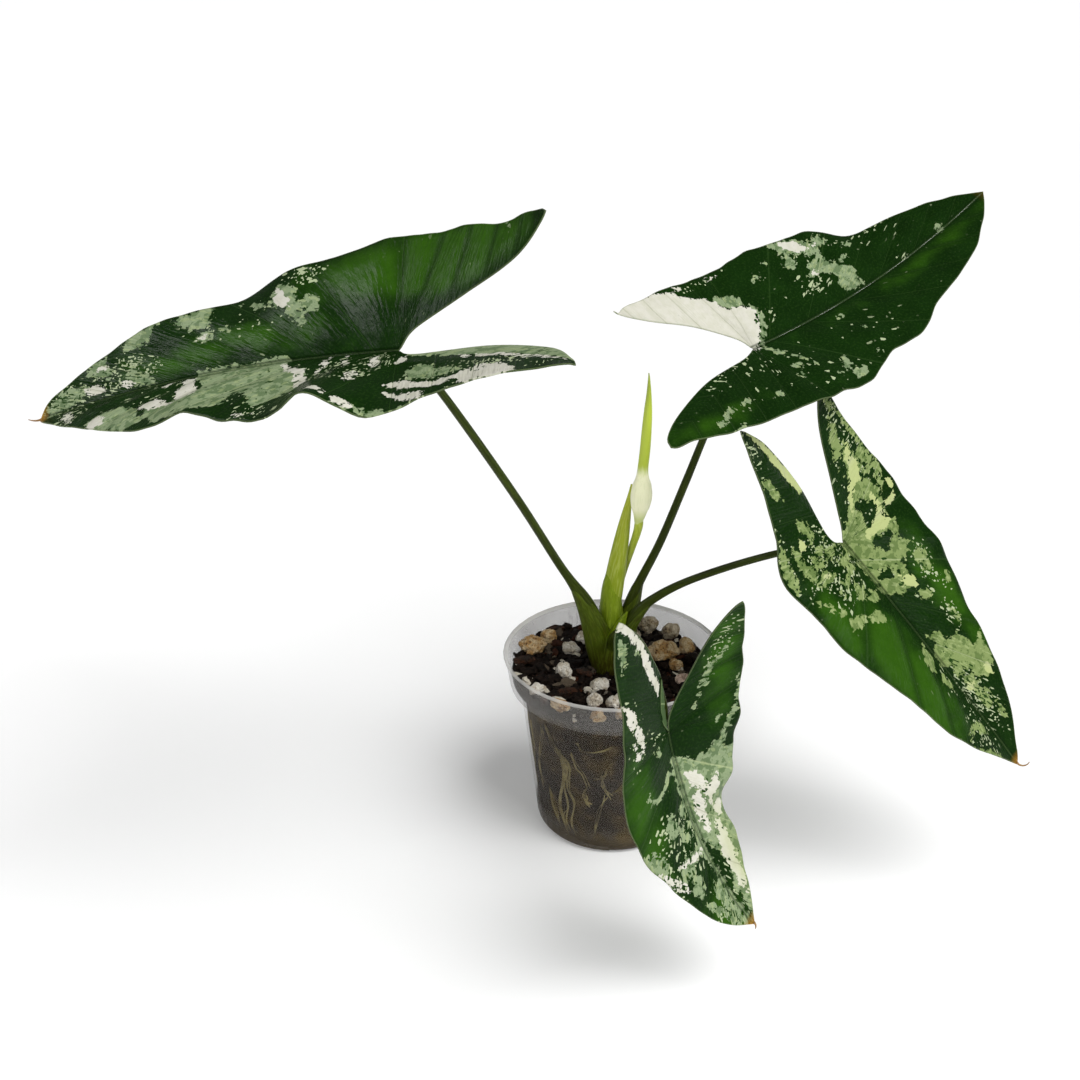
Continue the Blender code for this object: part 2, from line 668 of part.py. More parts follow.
def make_soil():
    """The soil, bedded round the stem, the roots and what lies on it."""
    soil = piece("soil", soil_solid(), "soil")
    cutters = [
        piece("stem_cutter", stem_solid(GAP), "soil"),
        piece("rhizome_cutter", rhizome_solid(GAP), "soil"),
        piece("foot_cutter", foot_sleeve(), "soil"),
    ]
    cutters += [
        piece(f"root_cutter_{i}", tube(root_route(i), ROOT_SIDES, ROOT_BED), "soil")
        for i in range(ROOT_COUNT)
    ]
    cutters += [
        piece(name + "_cutter", stone_solid(place, size, turn, seed, GAP, flat), "soil")
        for name, place, size, turn, seed, flat in loose_pieces()
    ]
    cut(soil, cutters)
    return soil


def foot_sleeve():
    """The short stretch between the stem and the rhizome, as a cutter."""
    radius = STEM_RADII[0] * MM
    ends = [STEM_FOOT - Vector((0, 0, 2 * RHIZOME_GAP)), STEM_FOOT + Vector((0, 0, RHIZOME_GAP))]
    return tube([(*end, radius) for end in ends], STEM_STEPS)


def make_loose_pieces():
    """Pumice and bark lying on the soil."""
    for name, place, size, turn, seed, flat in loose_pieces():
        finish = "bark" if flat else name.rsplit("_", 1)[0]
        piece(name, stone_solid(place, size, turn, seed, 0.0, flat), finish, smooth=not flat)


def spine_angles(leaf, half, share):
    """Pitch and turn of the midrib's line at a share of the blade's length."""
    if share >= 0:
        return -math.radians(leaf["droop"]) * share**DROOP_POWER, math.radians(leaf["sway"]) * share
    return math.radians(half["lobe_lift"]) * share / LOBE_SHARE, 0.0


def spine(leaf, half, distance):
    """Point on the midrib's bent line, and its three directions there."""
    sums = Vector()
    for i in range(BEND_STEPS):
        pitch, turn = spine_angles(leaf, half, distance / leaf["length"] * (i + 0.5) / BEND_STEPS)
        sums += Vector((
            math.cos(pitch) * math.cos(turn), math.cos(pitch) * math.sin(turn), math.sin(pitch)
        ))
    pitch, turn = spine_angles(leaf, half, distance / leaf["length"])
    side = Vector((-math.sin(turn), math.cos(turn), 0.0))
    up = Vector((
        -math.sin(pitch) * math.cos(turn), -math.sin(pitch) * math.sin(turn), math.cos(pitch)
    ))
    return sums * (distance / BEND_STEPS), side, up


def blade_axes(leaf):
    """Forward, left and up of the blade where the stalk meets it."""
    heading, rise, roll = (math.radians(leaf[key]) for key in ("heading", "rise", "roll"))
    forward = Vector((
        math.cos(rise) * math.cos(heading), math.cos(rise) * math.sin(heading), math.sin(rise)
    ))
    level = Vector((-math.sin(heading), math.cos(heading), 0.0))
    above = forward.cross(level)
    left = level * math.cos(roll) + above * math.sin(roll)
    return forward, left, -level * math.sin(roll) + above * math.cos(roll)


def blade_point(leaf, half, sign, flat):
    """Where a flat point (along, aside, lift), in millimetres, lies on the folded blade."""
    along, aside, lift = flat
    centre, side, up = spine(leaf, half, along)
    reach = abs(aside) / (HALF_WIDTH_SHARE * leaf["length"])
    fold = half["fold"] + leaf["tip_fold"] * min(max(along / leaf["length"], 0.0), 1.0)
    out = 0.0
    rise = 0.0
    for i in range(FOLD_STEPS):
        angle = math.radians(fold - half["camber"] * reach * (i + 0.5) / FOLD_STEPS)
        out += math.cos(angle) * abs(aside) / FOLD_STEPS
        rise += math.sin(angle) * abs(aside) / FOLD_STEPS
    last = math.radians(fold - half["camber"] * reach)
    out -= lift * math.sin(last)
    rise += lift * math.cos(last)
    local = centre + side * (sign * out) + up * rise
    forward, left, above = blade_axes(leaf)
    world = Vector(leaf["stalk"]) + forward * local.x + left * local.y + above * local.z
    return world * MM


def margin_curves(leaf, half):
    """Functions for the outer margin, the inner margin and the lobe's rib."""
    length = leaf["length"]
    lobe_tip = half["lobe_tip"]
    distances = [share * length for share in STATIONS]
    distances += [share * lobe_tip[0] for share in LOBE_STATIONS]
    stations = zip(distances, half["widths"], half["lifts"])
    outer_points = [(length, 0.0, 0.0), *stations, lobe_tip]
    chord = Vector(lobe_tip[:2])
    inward = Vector((chord.y, -chord.x)).normalized()
    if inward.y > 0:
        inward = -inward
    inner_points = [(0.0, 0.0, 0.0)]
    for share, bow in zip(INNER_STATIONS, half["inner"]):
        point = chord * share + inward * bow
        inner_points.append((point.x, point.y, lobe_tip[2] * share))
    inner_points.append(lobe_tip)
    inner_shares = (0.0, *INNER_STATIONS, 1.0)

    def outer(row):
        return along_points(outer_points, row)

    def inner(share):
        for i, (low, high) in enumerate(zip(inner_shares, inner_shares[1:])):
            if share <= high:
                return along_points(inner_points, i + (share - low) / (high - low))
        return inner_points[-1]

    def rib(row):
        share = (row - STALK_ROW) / (BLADE_ROWS[-1] - STALK_ROW)
        inside = inner(share)
        outside = outer(row)
        part = LOBE_RIB_SHARE * (1 - (1 - share) ** 2)
        return tuple(a + (b - a) * part for a, b in zip(inside, outside))

    return outer, inner, rib


def along_points(points, row):
    """The Catmull-Rom point at row, where whole rows are the points themselves."""
    index = min(int(row), len(points) - 2)
    first = [2 * a - b for a, b in zip(points[0], points[1])]
    last = [2 * a - b for a, b in zip(points[-1], points[-2])]
    run = [first, *points, last]
    return spline_point(run[index : index + 4], row - index)


def strip(bm, rows, columns, place):
    """A grid whose corners are placed by place(row, column)."""
    made = bmesh.ops.create_grid(
        bm, x_segments=len(rows) - 1, y_segments=len(columns) - 1, size=1.0
    )["verts"]
    for vert in made:
        row = round((vert.co.x + 1) / 2 * (len(rows) - 1))
        column = round((vert.co.y + 1) / 2 * (len(columns) - 1))
        vert.co = place(rows[row], columns[column])
    return made


def half_blade(bm, leaf, half):
    """Lays out one half flat: (along, aside, lift) in millimetres."""
    outer, inner, rib = margin_curves(leaf, half)
    lobe_rows = [row for row in BLADE_ROWS if row >= STALK_ROW]

    def outer_place(row, column):
        outside = outer(row)
        inside = rib(row) if row >= STALK_ROW else (max(outside[0], 0.0), 0.0, 0.0)
        flat = [a + (b - a) * column for a, b in zip(inside, outside)]
        flat[2] = inside[2] + (outside[2] - inside[2]) * column**2
        return flat

    def inner_place(row, column):
        share = (row - STALK_ROW) / (BLADE_ROWS[-1] - STALK_ROW)
        return [a + (b - a) * column for a, b in zip(rib(row), inner(share))]

    return strip(bm, BLADE_ROWS, BLADE_COLUMNS, outer_place) + strip(
        bm, lobe_rows, LOBE_COLUMNS, inner_place
    )


def midrib_depth(along, aside, length):
    """How far the midrib stands out under the blade."""
    if abs(aside) > 0.01 or along < -0.01:
        return 0.0
    return MIDRIB_DEPTH * (1 - 0.8 * max(along, 0.0) / length)


def make_leaf(name):
    """One arrow-shaped blade, folded along its midrib, waved at its edge and ribbed below."""
    leaf = LEAVES[name]
    bm = bmesh.new()
    ridge = bm.verts.layers.float.new("ridge")
    for side, sign in (("left", 1), ("right", -1)):
        half = leaf[side]
        for vert in half_blade(bm, leaf, half):
            flat = vert.co.copy()
            vert[ridge] = midrib_depth(flat.x, flat.y, leaf["length"])
            vert.co = blade_point(leaf, half, sign, flat)
    bmesh.ops.remove_doubles(bm, verts=bm.verts, dist=0.02 * MM)
    bmesh.ops.dissolve_degenerate(bm, edges=bm.edges, dist=0.005 * MM)
    bmesh.ops.triangulate(bm, faces=bm.faces)
    bmesh.ops.recalc_face_normals(bm, faces=bm.faces)
    up = blade_axes(leaf)[2]
    if sum((face.normal * face.calc_area() for face in bm.faces), Vector()).dot(up) < 0:
        bmesh.ops.reverse_faces(bm, faces=bm.faces)
    bm.normal_update()
    under = bm.verts.layers.float_vector.new("under")
    for vert in bm.verts:
        vert[under] = vert.co - vert.normal * (BLADE_THICKNESS + vert[ridge])
    skin = list(bm.faces)
    grown = bmesh.ops.extrude_face_region(bm, geom=skin, use_keep_orig=True)["geom"]
    for element in grown:
        if isinstance(element, bmesh.types.BMVert):
            element.co = element[under]
    bmesh.ops.triangulate(bm, faces=bm.faces)
    bmesh.ops.recalc_face_normals(bm, faces=bm.faces)
    return piece(f"leaf_{name}", bm, "leaf")


def main():
    clear_scene()
    make_pot()
    make_soil()
    make_roots()
    make_stem()
    make_loose_pieces()
    make_stalks()
    for name in LEAVES:
        make_leaf(name)


main()
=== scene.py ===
"""Looks of the potted alocasia: variegated blades, stalks, flower, clear pot, soil and pumice."""

import math
import random

import bmesh
import bpy
import numpy as np
from mathutils import Matrix, Vector, noise


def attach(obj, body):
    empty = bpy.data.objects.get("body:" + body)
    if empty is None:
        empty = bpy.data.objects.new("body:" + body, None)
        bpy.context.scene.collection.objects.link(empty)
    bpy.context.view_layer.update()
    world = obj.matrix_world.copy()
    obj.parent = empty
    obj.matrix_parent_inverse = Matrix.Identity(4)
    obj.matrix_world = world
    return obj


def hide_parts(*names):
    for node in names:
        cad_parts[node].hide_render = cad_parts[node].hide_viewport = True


MM = 0.001

# Camera, in millimetres and degrees
CAMERA_PLACE = (-35.0, -528.0, 398.0)
CAMERA_PITCH = 25.2
FOCAL_PIXELS = 1280.0
PICTURE_PIXELS = 1080.0
SENSOR = 36.0

# Studio
FLOOR_SIZE = 40.0
FLOOR_GLOW = 0.16
SUN_FROM = (0.55, -0.35, 1.0)
SUN_SPREAD = 42.0
SUN_STRENGTH = 3.1
FILL_PLACE = (-0.25, -1.15, 0.6)
FILL_SIZE = 0.8
FILL_POWER = 4.0
LEFT_GLOSS_PLACE = (-1.05, 0.05, 1.05)
LEFT_GLOSS_SIZE = 0.32
LEFT_GLOSS_POWER = 6.0
RIGHT_GLOSS_PLACE = (1.1, -0.55, 0.6)
RIGHT_GLOSS_SIZE = 0.3
RIGHT_GLOSS_POWER = 2.0
SKY_STRENGTH = 0.16

# Blades: the same measures as the source's
HALF_WIDTH_SHARE = 0.29
LOBE_SHARE = 0.58
DROOP_POWER = 1.3
BEND_STEPS = 24
FOLD_STEPS = 10
STATIONS = (0.97, 0.91, 0.82, 0.70, 0.58, 0.46, 0.33, 0.20, 0.07)
LOBE_STATIONS = (0.12, 0.38, 0.64, 0.86, 0.965)
INNER_STATIONS = (0.12, 0.42, 0.75, 0.94)
LAST_ROW = 15
STALK_ROW = 9.5
LOBE_RIB_SHARE = 0.24
ROW_STEP = 0.1
BLADE_COLUMNS = 28
LOBE_COLUMNS = 9
BLADE_SKIN = 0.55

LEAVES = {
    "left": {
        "stalk": (-88.0, -64.0, 258.3),
        "heading": 162.0,
        "rise": -9.0,
        "roll": -13.0,
        "length": 164.0,
        "droop": 10.0,
        "sway": 11.5,
        "tip_fold": -7.0,
        "left": {
            "fold": 10.0,
            "camber": 7.0,
            "lobe_lift": 5.0,
            "widths": (5, 11.5, 20, 29, 35, 37.5, 45, 50, 54, 54.5, 47, 42, 37.5, 35),
            "lifts": (0.5, -0.7, -1.4, -3.0, -2.7, 1.3, -1.6, -0.4, 9.4, -1.9, 1.1, 3.5, 2.5, 1.6),
            "lobe_tip": (-80.7, 33.7, 0.2),
            "inner": (-1.7, 11.4, 12.2, 4.2),
        },
        "right": {
            "fold": 35.0,
            "camber": 3.5,
            "lobe_lift": 35.0,
            "widths": (6, 12, 20, 28.5, 34, 37.5, 44, 47.5, 50.5, 50, 48.5, 43, 40, 36.5),
            "lifts": (1.5, 1.9, 1.4, 1.9, -1.9, -6.2, -1.8, -2.4, -0.1, -0.1, 2.2, 2.4, 4.3, 5.6),
            "lobe_tip": (-73.7, 33.9, 6.2),
            "inner": (-5.2, -4.1, 1.6, 1.2),
        },
    },
    "back": {
        "stalk": (57.2, 7.5, 237.7),
        "heading": 36.0,
        "rise": 9.5,
        "roll": 23.0,
        "length": 150.0,
        "droop": -26.0,
        "sway": 5.0,
        "tip_fold": -7.0,
        "left": {
            "fold": 20.0,
            "camber": 6.0,
            "lobe_lift": 20.5,
            "widths": (3.5, 9.5, 16, 21.5, 26, 37.5, 40.5, 43, 41.5, 40.5, 40.5, 37.5, 35, 32),
            "lifts": (-0.2, -0.3, -0.5, -0.9, -3.7, -0.2, 0.9, 0.4, -1.2, -0.2, 0.9, 2.0, 3.3, 4.4),
            "lobe_tip": (-62.6, 33.0, 4.9),
            "inner": (-3.8, -5.5, -1.6, 0.6),
        },
        "right": {
            "fold": 8.5,
            "camber": 5.5,
            "lobe_lift": 0.0,
            "widths": (4.5, 11, 18.5, 24, 28, 35.5, 36, 42, 42.5, 41.5, 40, 36.5, 32, 31),
            "lifts": (0.0, -0.1, -0.5, 0.0, 0.4, -1.0, -1.2, -3.4, -0.2, 0.8, 0.5, -0.3, 0.1, -0.7),
            "lobe_tip": (-73.2, 29.6, -0.7),
            "inner": (0.1, 6.1, 6.5, 4.0),
        },
    },
    "right": {
        "stalk": (97.0, -25.0, 160.0),
        "heading": -20.5,
        "rise": -46.5,
        "roll": 18.5,
        "length": 131.5,
        "droop": 7.0,
        "sway": 4.0,
        "tip_fold": -5.0,
        "left": {
            "fold": 21.5,
            "camber": 6.0,
            "lobe_lift": 26.5,
            "widths": (3.5, 8.5, 16, 23, 28.5, 32.5, 37, 39, 40, 41, 38, 34, 31, 27.5),
            "lifts": (0.5, 0.7, 1.0, 0.7, -0.3, -1.7, -0.3, 1.3, -0.5, -0.4, 0.9, 2.2, 3.4, 4.2),
            "lobe_tip": (-67.1, 25.6, 4.9),
            "inner": (-1.8, -2.1, 0.5, 0.6),
        },
        "right": {
            "fold": 9.5,
            "camber": 15.5,
            "lobe_lift": 19.5,
            "widths": (3, 8, 15.5, 23.5, 28, 32.5, 37, 41.5, 42.5, 44, 37, 31, 27.5, 25),
            "lifts": (0.3, 0.3, -0.1, -0.7, -0.1, 0.0, -0.7, -2.4, -1.0, -3.0, 1.9, 4.1, 3.7, 2.6),
            "lobe_tip": (-72.5, 23.7, 2.2),
            "inner": (-4.0, 7.0, 7.5, 2.5),
        },
    },
    "front": {
        "stalk": (14.7, -113.2, 120.5),
        "heading": -24.5,
        "rise": -77.5,
        "roll": 14.0,
        "length": 97.0,
        "droop": -21.5,
        "sway": 16.0,
        "tip_fold": -15.0,
        "left": {
            "fold": 23.0,
            "camber": -3.5,
            "lobe_lift": 33.0,
            "widths": (2.5, 6.5, 11, 15, 17, 18, 24, 27.5, 31.5, 33, 34, 32, 29, 26.5),
            "lifts": (-0.5, -0.5, -1.0, -1.3, -2.2, -4.8, 0.2, -0.5, 1.0, 1.5, 2.5, 3.1, 3.2, 2.9),
            "lobe_tip": (-60.6, 25.0, 3.0),
            "inner": (1.5, -0.6, 0.5, 0.9),
        },
        "right": {
            "fold": 6.5,
            "camber": 10.0,
            "lobe_lift": 4.5,
            "widths": (3, 8.5, 14, 18.5, 22.5, 27, 30.5, 31.5, 31.5, 31, 29, 28, 26, 24.5),
            "lifts": (0.0, 0.1, -0.6, -0.5, -1.0, -2.3, -1.9, -1.8, -0.9, 2.1, 2.9, 1.8, 1.1, 2.1),
            "lobe_tip": (-59.0, 22.6, 2.4),
            "inner": (7.1, 9.0, 6.1, 2.1),
        },
    },
}

# Variegation, in millimetres on the flattened blade: along from the stalk to the tip, and
# aside, which is positive on the blade's left. A patch is an outline of points, or an oval of
# (along, aside, length, width, turn).
PATTERN = {
    "left": {
        "sage": (
            ((-84, 34), (-77, 28), (-60, 22), (-50, 17.5), (-30, 12.5), (-12, 8), (-4, 4), (-20, 1),
             (-60, 5), (-86, 24)),
            ((-38, 30), (-30, 32), (-18, 31), (-14, 27), (-14, 20), (-20, 18), (-28, 24), (-36, 27)),
            ((29, 32), (40, 36), (46, 38), (52, 31), (62, 34), (80, 35), (94, 33), (102, 26),
             (102, 21), (80, 20), (80, 12), (88, 2), (88, -2), (48, -2), (45, 4), (41, 10),
             (35, 12), (30, 17)),
            ((101, 27), (107, 31), (116, 29), (126, 25), (133, 20), (128, 14), (118, 15), (110, 17)),
            (-12, 52.5, 22, 4, 0),
            ((37, -21), (42, -21), (46, -26), (43, -29), (38, -27)),
            ((40, -15), (45, -16), (49, -20), (57, -26), (60, -32), (55, -38), (49, -33), (45, -24)),
            (66, -30, 12, 3, -20), (80, -20.5, 7, 3, 0), (88.5, -19, 6, 5, 0),
            ((86, -24), (94, -23), (103, -30), (99, -33), (87, -35)),
            ((111, -24), (117, -19), (124, -20), (124, -25), (110, -31)),
            ((107, -1), (116, -2), (123, -8), (120, -11), (112, -6)),
            ((128, -8), (140, -13), (140, -18), (133, -20)), (150, -5, 20, 8, 20),
            (-50, -40, 3.5, 3, 0),
        ),
        "cream": (
            ((-62, 38), (-58, 33), (-50, 28), (-42, 27), (-38, 30), (-36, 35), (-28, 36), (-20, 34),
             (-12, 31), (-9, 31), (-9, 35), (-18, 38), (-28, 40), (-38, 38), (-42, 43), (-54, 43)),
            ((-28, 47), (-20, 46), (-12, 41), (-10, 39), (-20, 42), (-29, 44)),
            ((-76, 29), (-60, 24), (-50, 19.5), (-30, 14.5), (-30, 12.5), (-50, 17), (-62, 21)),
            ((79, 20), (88, 20.5), (90, 14), (90, 6), (94, 1), (88, 2), (84, 10)),
            ((88, 22), (100, 22.5), (105, 21), (106, 16), (100, 16), (95, 19)),
            ((29, 31), (32, 29), (36, 18), (44, 11), (48, 4), (45, 3), (40, 9), (33, 14), (29, 22)),
            (3.5, 14, 3, 13, 15), (6, 29, 4, 9, 10), (27, 10, 2.5, 13, 5), (-6, 11, 4, 7, 0),
            (17, 12, 2, 12, 25), (0, 51.5, 8, 3, -10), (13, 46, 16, 2.5, -30),
            (127, 20, 9, 7, 0), (99, 4, 3, 5, 0), (146, 8, 4, 11, 35), (48, 43, 7, 3, 0),
            (54, -28, 5, 13, 30), (121, -4, 6, 3, 0), (136.5, -5.5, 9, 3.5, -15), (134, -15, 5, 3, 0),
            (89, -19, 4, 3, 0),
        ),
        "deep": ((56, 31, 12, 8, -35), (37, 4, 15, 10, 0), (53, -23, 4, 4, 0)),
        "flecks": (
            (-45, 24, 60, 16, 15, 0.6), (44, 43, 26, 9, -15, 0.7), (104, 9, 30, 20, 0, 0.35),
            (-38, 46, 40, 9, 10, 0.5), (145, 8, 16, 14, 0, 0.7), (46, -40, 18, 10, 0, 0.9),
            (150, -5, 24, 12, 0, 0.8), (122, -9, 34, 16, 0, 0.7), (-66, 33, 16, 8, 20, 0.5),
            (60, 18, 70, 44, 0, 0.25), (12, 18, 34, 34, 0, 0.55), (70, -22, 60, 16, 0, 0.25),
        ),
        "glow": ((-12, -36, 110, 30, 0), (100, -9, 40, 10, 0), (65, -14, 50, 12, 0)),
        "warm": (),
    },
    "back": {
        "sage": (
            ((-4, 29), (0, 28), (6, 27), (10, 24), (10, 20), (5, 20), (0, 22), (-4, 25)),
            ((13, 19), (11, 10), (5, 2), (3, -1), (9, 1), (13, 7), (15.5, 13)),
            ((42, 42), (50, 40.5), (60, 36), (63, 32), (68, 33), (73, 33), (73, 29), (66, 27),
             (59, 26), (55, 29), (48, 32), (45, 38)),
            ((47, 16), (53, 22), (58, 25.5), (65, 25), (64, 20), (67, 16), (73, 11), (71, 7),
             (71, 2), (60, 3), (60, 8), (62, 12), (60, 17), (52, 17)),
            (46, 28, 7, 6, 0), ((18, -33), (24, -34), (29, -31), (30.5, -25), (27, -27), (24, -31)),
            (29.5, -36.5, 9, 5, 10), (-42, -28.5, 10, 2.5, 20), (6.5, -20, 3.5, 5, 0),
            (4.5, -25.5, 4, 3, 0), (-14.5, -30, 4, 2, 0), (-29, -26, 3, 2, 0), (-43, -37.5, 6, 2, 10),
            (44, -33, 3, 2.5, 0), (50, -18.5, 2.5, 3, 0), (47, -7, 3, 2.5, 0), (26, 28.5, 4, 2, 0),
            (35, 33, 2.5, 2, 0), (80, 23, 5, 3, 0), (71, 17, 6, 2.5, 10), (120.5, 1.5, 4, 4, 20),
            (6, -8, 2.5, 10, 20), (11.5, -17, 2, 8, 20),
        ),
        "cream": (
            ((11, 17), (13, 15), (10, 8), (5, 2), (2, -2), (-10, 2), (-40, 20), (-70, 26), (-70, 36),
             (-55, 37), (-40, 39), (-30, 38.5), (-22, 37), (-18, 34), (-14, 31), (-7, 31), (-4, 28),
             (-3, 24), (2, 21), (8, 20)),
            ((48, 40), (56, 37), (60, 32), (57, 28), (53, 31), (49, 35)),
            (54, 18.8, 5, 2.5, 0), (-17, 38.5, 4, 3, 0), (4.5, 38.5, 4, 1.6, 0), (65, 30, 4, 2, 0),
        ),
        "deep": (),
        "flecks": (
            (50, 13, 16, 8, 0, 0.9), (92, 23, 24, 5, 0, 0.7), (15, 9, 16, 10, 30, 0.6),
            (97, 1, 5, 3, 0, 0.9), (60, 30, 40, 20, 0, 0.25), (10, -22, 120, 36, 0, 0.18),
            (-28, -7, 44, 7, 10, 0.6), (-5, 38, 30, 6, 0, 0.5), (70, 20, 120, 40, 0, 0.12),
        ),
        "glow": ((-50, -28, 30, 6, 0), (110, -6, 40, 4, 0)),
        "warm": ((144, 4, 22, 14, 0),),
    },
    "right": {
        "sage": (
            ((-37, 27), (-33, 29), (-24, 30.5), (-17, 30), (-10, 30), (-7, 32), (0, 28), (10, 28),
             (14, 24), (21, 25), (24.5, 20), (25, 15), (30, 17), (38, 12), (34, 6), (30, -1),
             (-2, -2), (-6, 8), (-14, 17), (-28, 22)),
            ((55, 1), (60, 10), (65, 9), (66, 16), (76, 19), (75, 28), (80, 26), (88, 24), (90, 20),
             (93, 17), (88, 12), (78, 5), (70, -1), (64, 0), (62, 4)),
            (-59, 28, 10, 4, 0), (-38, 23, 18, 5, -15), (-38, 34, 26, 3.5, 10), (-22, 34, 14, 6, 20),
            (-13, 36, 14, 4, -25), (31, 26, 13, 7, 0), (46, 31, 6, 4, 0), (61, 22, 8, 4, 0),
            (42, 15, 8, 4, 30), (85, 6, 16, 5, 20), (97, 7, 10, 6, 0), (106, 10, 8, 3, 0),
            ((-48, -24), (-44, -21), (-36, -21), (-40, -26), (-46, -29), (-50, -28)),
            ((-26, -21), (-20, -15), (-15, -14), (-12, -19), (-18, -22)),
            ((-18, -30), (-10, -29), (0, -27), (2, -31), (-4, -34), (-14, -33)),
            ((-24, -36), (-14, -36), (-6, -38), (-2, -42), (-8, -43), (-18, -40)),
            (-6, -19, 4, 20, 8), (-2.5, -14, 2.5, 22, 0), (4, -9, 5, 11, 0), (10, -14, 4, 20, 10),
            (3, -24, 6, 10, 0), ((22, -31), (27, -32), (28, -25), (30, -20), (26, -21), (23, -26)),
            ((28, -20), (32, -18), (36, -13), (33, -11), (29, -14)), (17, -30, 4, 4, 0),
            (10, -35.5, 7, 2.5, 20), (18, -13, 5, 8, 0), (25, -9, 5, 7, 0),
            ((57, -2), (66, -2), (70, -8), (64, -10), (59, -7)), (77, -6, 7, 4, 0),
            (103, -7, 9, 5, 20), (100, -13, 4, 6, 0), (114, -12, 14, 4, 35),
        ),
        "cream": (
            ((-73, -22), (-66, -16), (-50, -8), (-38, -3), (-31, -2), (-31, -7), (-42, -11),
             (-60, -16.5), (-68, -21)),
            ((-35, 28), (-25, 29), (-18, 27), (-15, 20), (-8, 13), (-14, 15), (-22, 22), (-30, 24)),
            ((-8, 27), (8, 27), (9, 20), (6, 10), (3, 12), (2, 22), (-6, 24)), (33, 13, 10, 6, 20),
            (-3.5, 38, 5, 2.5, 0), (1.5, 33, 3.5, 6, 0), (-15.5, -25, 5, 4, 0), (-62, 26, 6, 2, 0),
            (88, 5, 4, 4, 0), (3, -23, 3, 5, 0), (90, 18, 5, 4, 0),
        ),
        "deep": (
            ((-28, 16), (-25, 19.5), (-20, 20), (-17.5, 17), (-21, 14), (-26, 14)),
            ((-10, 18), (-6, 22), (-4, 25), (0, 24), (2, 20), (4, 15), (0, 14), (-5, 16), (-8, 13)),
            ((9, 12), (10, 20), (13, 22), (15, 17), (18, 15), (14, 12), (12, 10)),
            (23.5, 7, 5, 11, -20), (-17, 27, 4, 3, 0), (60, 14, 5, 6, 0), (6, 27, 8, 2.5, 20),
        ),
        "flecks": (
            (92, 6, 42, 13, 0, 0.8), (-62, -24, 20, 8, 0, 0.6), (36, 26, 34, 12, 0, 0.6),
            (-40, 31, 56, 16, 0, 0.55), (2, -18, 44, 30, 0, 0.55), (-10, -36, 40, 14, 0, 0.4),
            (58, 20, 18, 10, 0, 0.7), (105, -9, 24, 14, 0, 0.6), (78, -5, 16, 8, 0, 0.5),
            (0, 14, 80, 34, 0, 0.25),
        ),
        "glow": ((58, -22, 80, 26, 0), (50, 26, 60, 14, 0), (20, -34, 40, 12, 0)),
        "warm": ((20, 0, 260, 120, 0),),
    },
    "front": {
        "sage": (
            ((0, 30), (3, 27), (8, 24), (12, 20), (15, 16), (17, 9), (14, 5), (10, -2), (99, -2),
             (95, 6), (85, 12), (70, 18), (42, 22), (35, 26), (20, 30), (19, 24), (12, 24), (4, 30)),
            (-6, 32, 12, 3, -8), (-42, -13, 6, 3, 25), (-46, -22, 12, 4, 0),
            ((12, -2.5), (16, -3.5), (20, -9), (21, -15), (18, -10), (15, -5)), (2.5, -10, 3, 4, 0),
            (36, -12, 10, 6, 0), (34, -4, 10, 4, 0), (43, -7, 7, 5, 0), (45, -24, 13, 7, 30),
            ((49, -1), (56, -1.5), (56, -8), (60, -13), (57, -18), (51, -14), (50, -6)),
            (65, -12, 9, 5, 0), (75, -4, 14, 5, 0), (86, -5, 12, 6, 10), (78, -10, 10, 4, 30),
            (18, -19, 5, 3, 0), (2, 22, 4, 2.5, 0), (-24, 20, 24, 3, -25),
        ),
        "cream": (
            ((-62, -24), (-57, -19), (-50, -14), (-45, -10), (-35, -7), (-22, -2), (-19, -4),
             (-27, -8), (-38, -11), (-48, -16), (-54, -21), (-57, -26)),
            ((28, 18), (33, 17), (36, 13), (42, 11), (38, 9), (32, 9), (28, 7), (24, 3), (19, 4),
             (22, 8), (29, 11)),
            (38, 5, 22, 5, 0), (64, 9, 30, 6, -5), (45, 14, 8, 5, 0), (78, 8, 14, 4, -15),
            ((-27, -28), (-24, -24), (-20, -21), (-12, -19), (-4, -17.5), (-2, -20), (-8, -22),
             (-15, -23), (-18, -27)),
            (55, -21, 12, 3, 30), (53, -9, 3, 12, -10), (-4, -23, 6, 2, 0),
        ),
        "deep": (
            ((51, 0.8), (58, 3), (65, 5.5), (72, 5), (80, 2), (88, 3.5), (93, 1), (80, 0.5)),
            ((8, 28), (12, 30), (19, 28), (18, 23), (14, 25)),
        ),
        "flecks": (
            (-36, 21, 26, 8, -10, 0.7), (46, -14, 36, 28, 0, 0.6), (-12, -22, 34, 10, 0, 0.6),
            (60, 8, 80, 24, 0, 0.25), (84, -7, 26, 12, 0, 0.6), (-4, -8, 10, 10, 0, 0.4),
            (-45, 26, 20, 6, 0, 0.3),
        ),
        "glow": ((-30, 24, 60, 14, 0), (25, -24, 70, 14, 0), (85, -6, 30, 14, 0)),
        "warm": ((78, 12, 30, 5, 0),),
    },
}
PATTERN_REACH = 9.0

# Side veins: their angle to the midrib falls from the stalk to the tip. A blade has one near
# its stalk, and the others leave the midrib at even distances. Lengths are in millimetres.
VEIN_ANGLE_TIP = 26.0
VEIN_ANGLE_FALL = 34.0
VEIN_ANGLE_REACH = 30.0
FIRST_VEIN = 10.0
VEIN_SPACING = 23.0
BASE_VEIN_ANGLE = 84.0
LOBE_VEIN_ANGLE = 48.0
LOBE_VEIN_SPACING = 20.0
QUILT_LIFT = 1.0
LOBE_QUILT_SHARE = 0.5
MARGIN_WAVE = 0.8
MARGIN_WAVE_LENGTH = 9.0

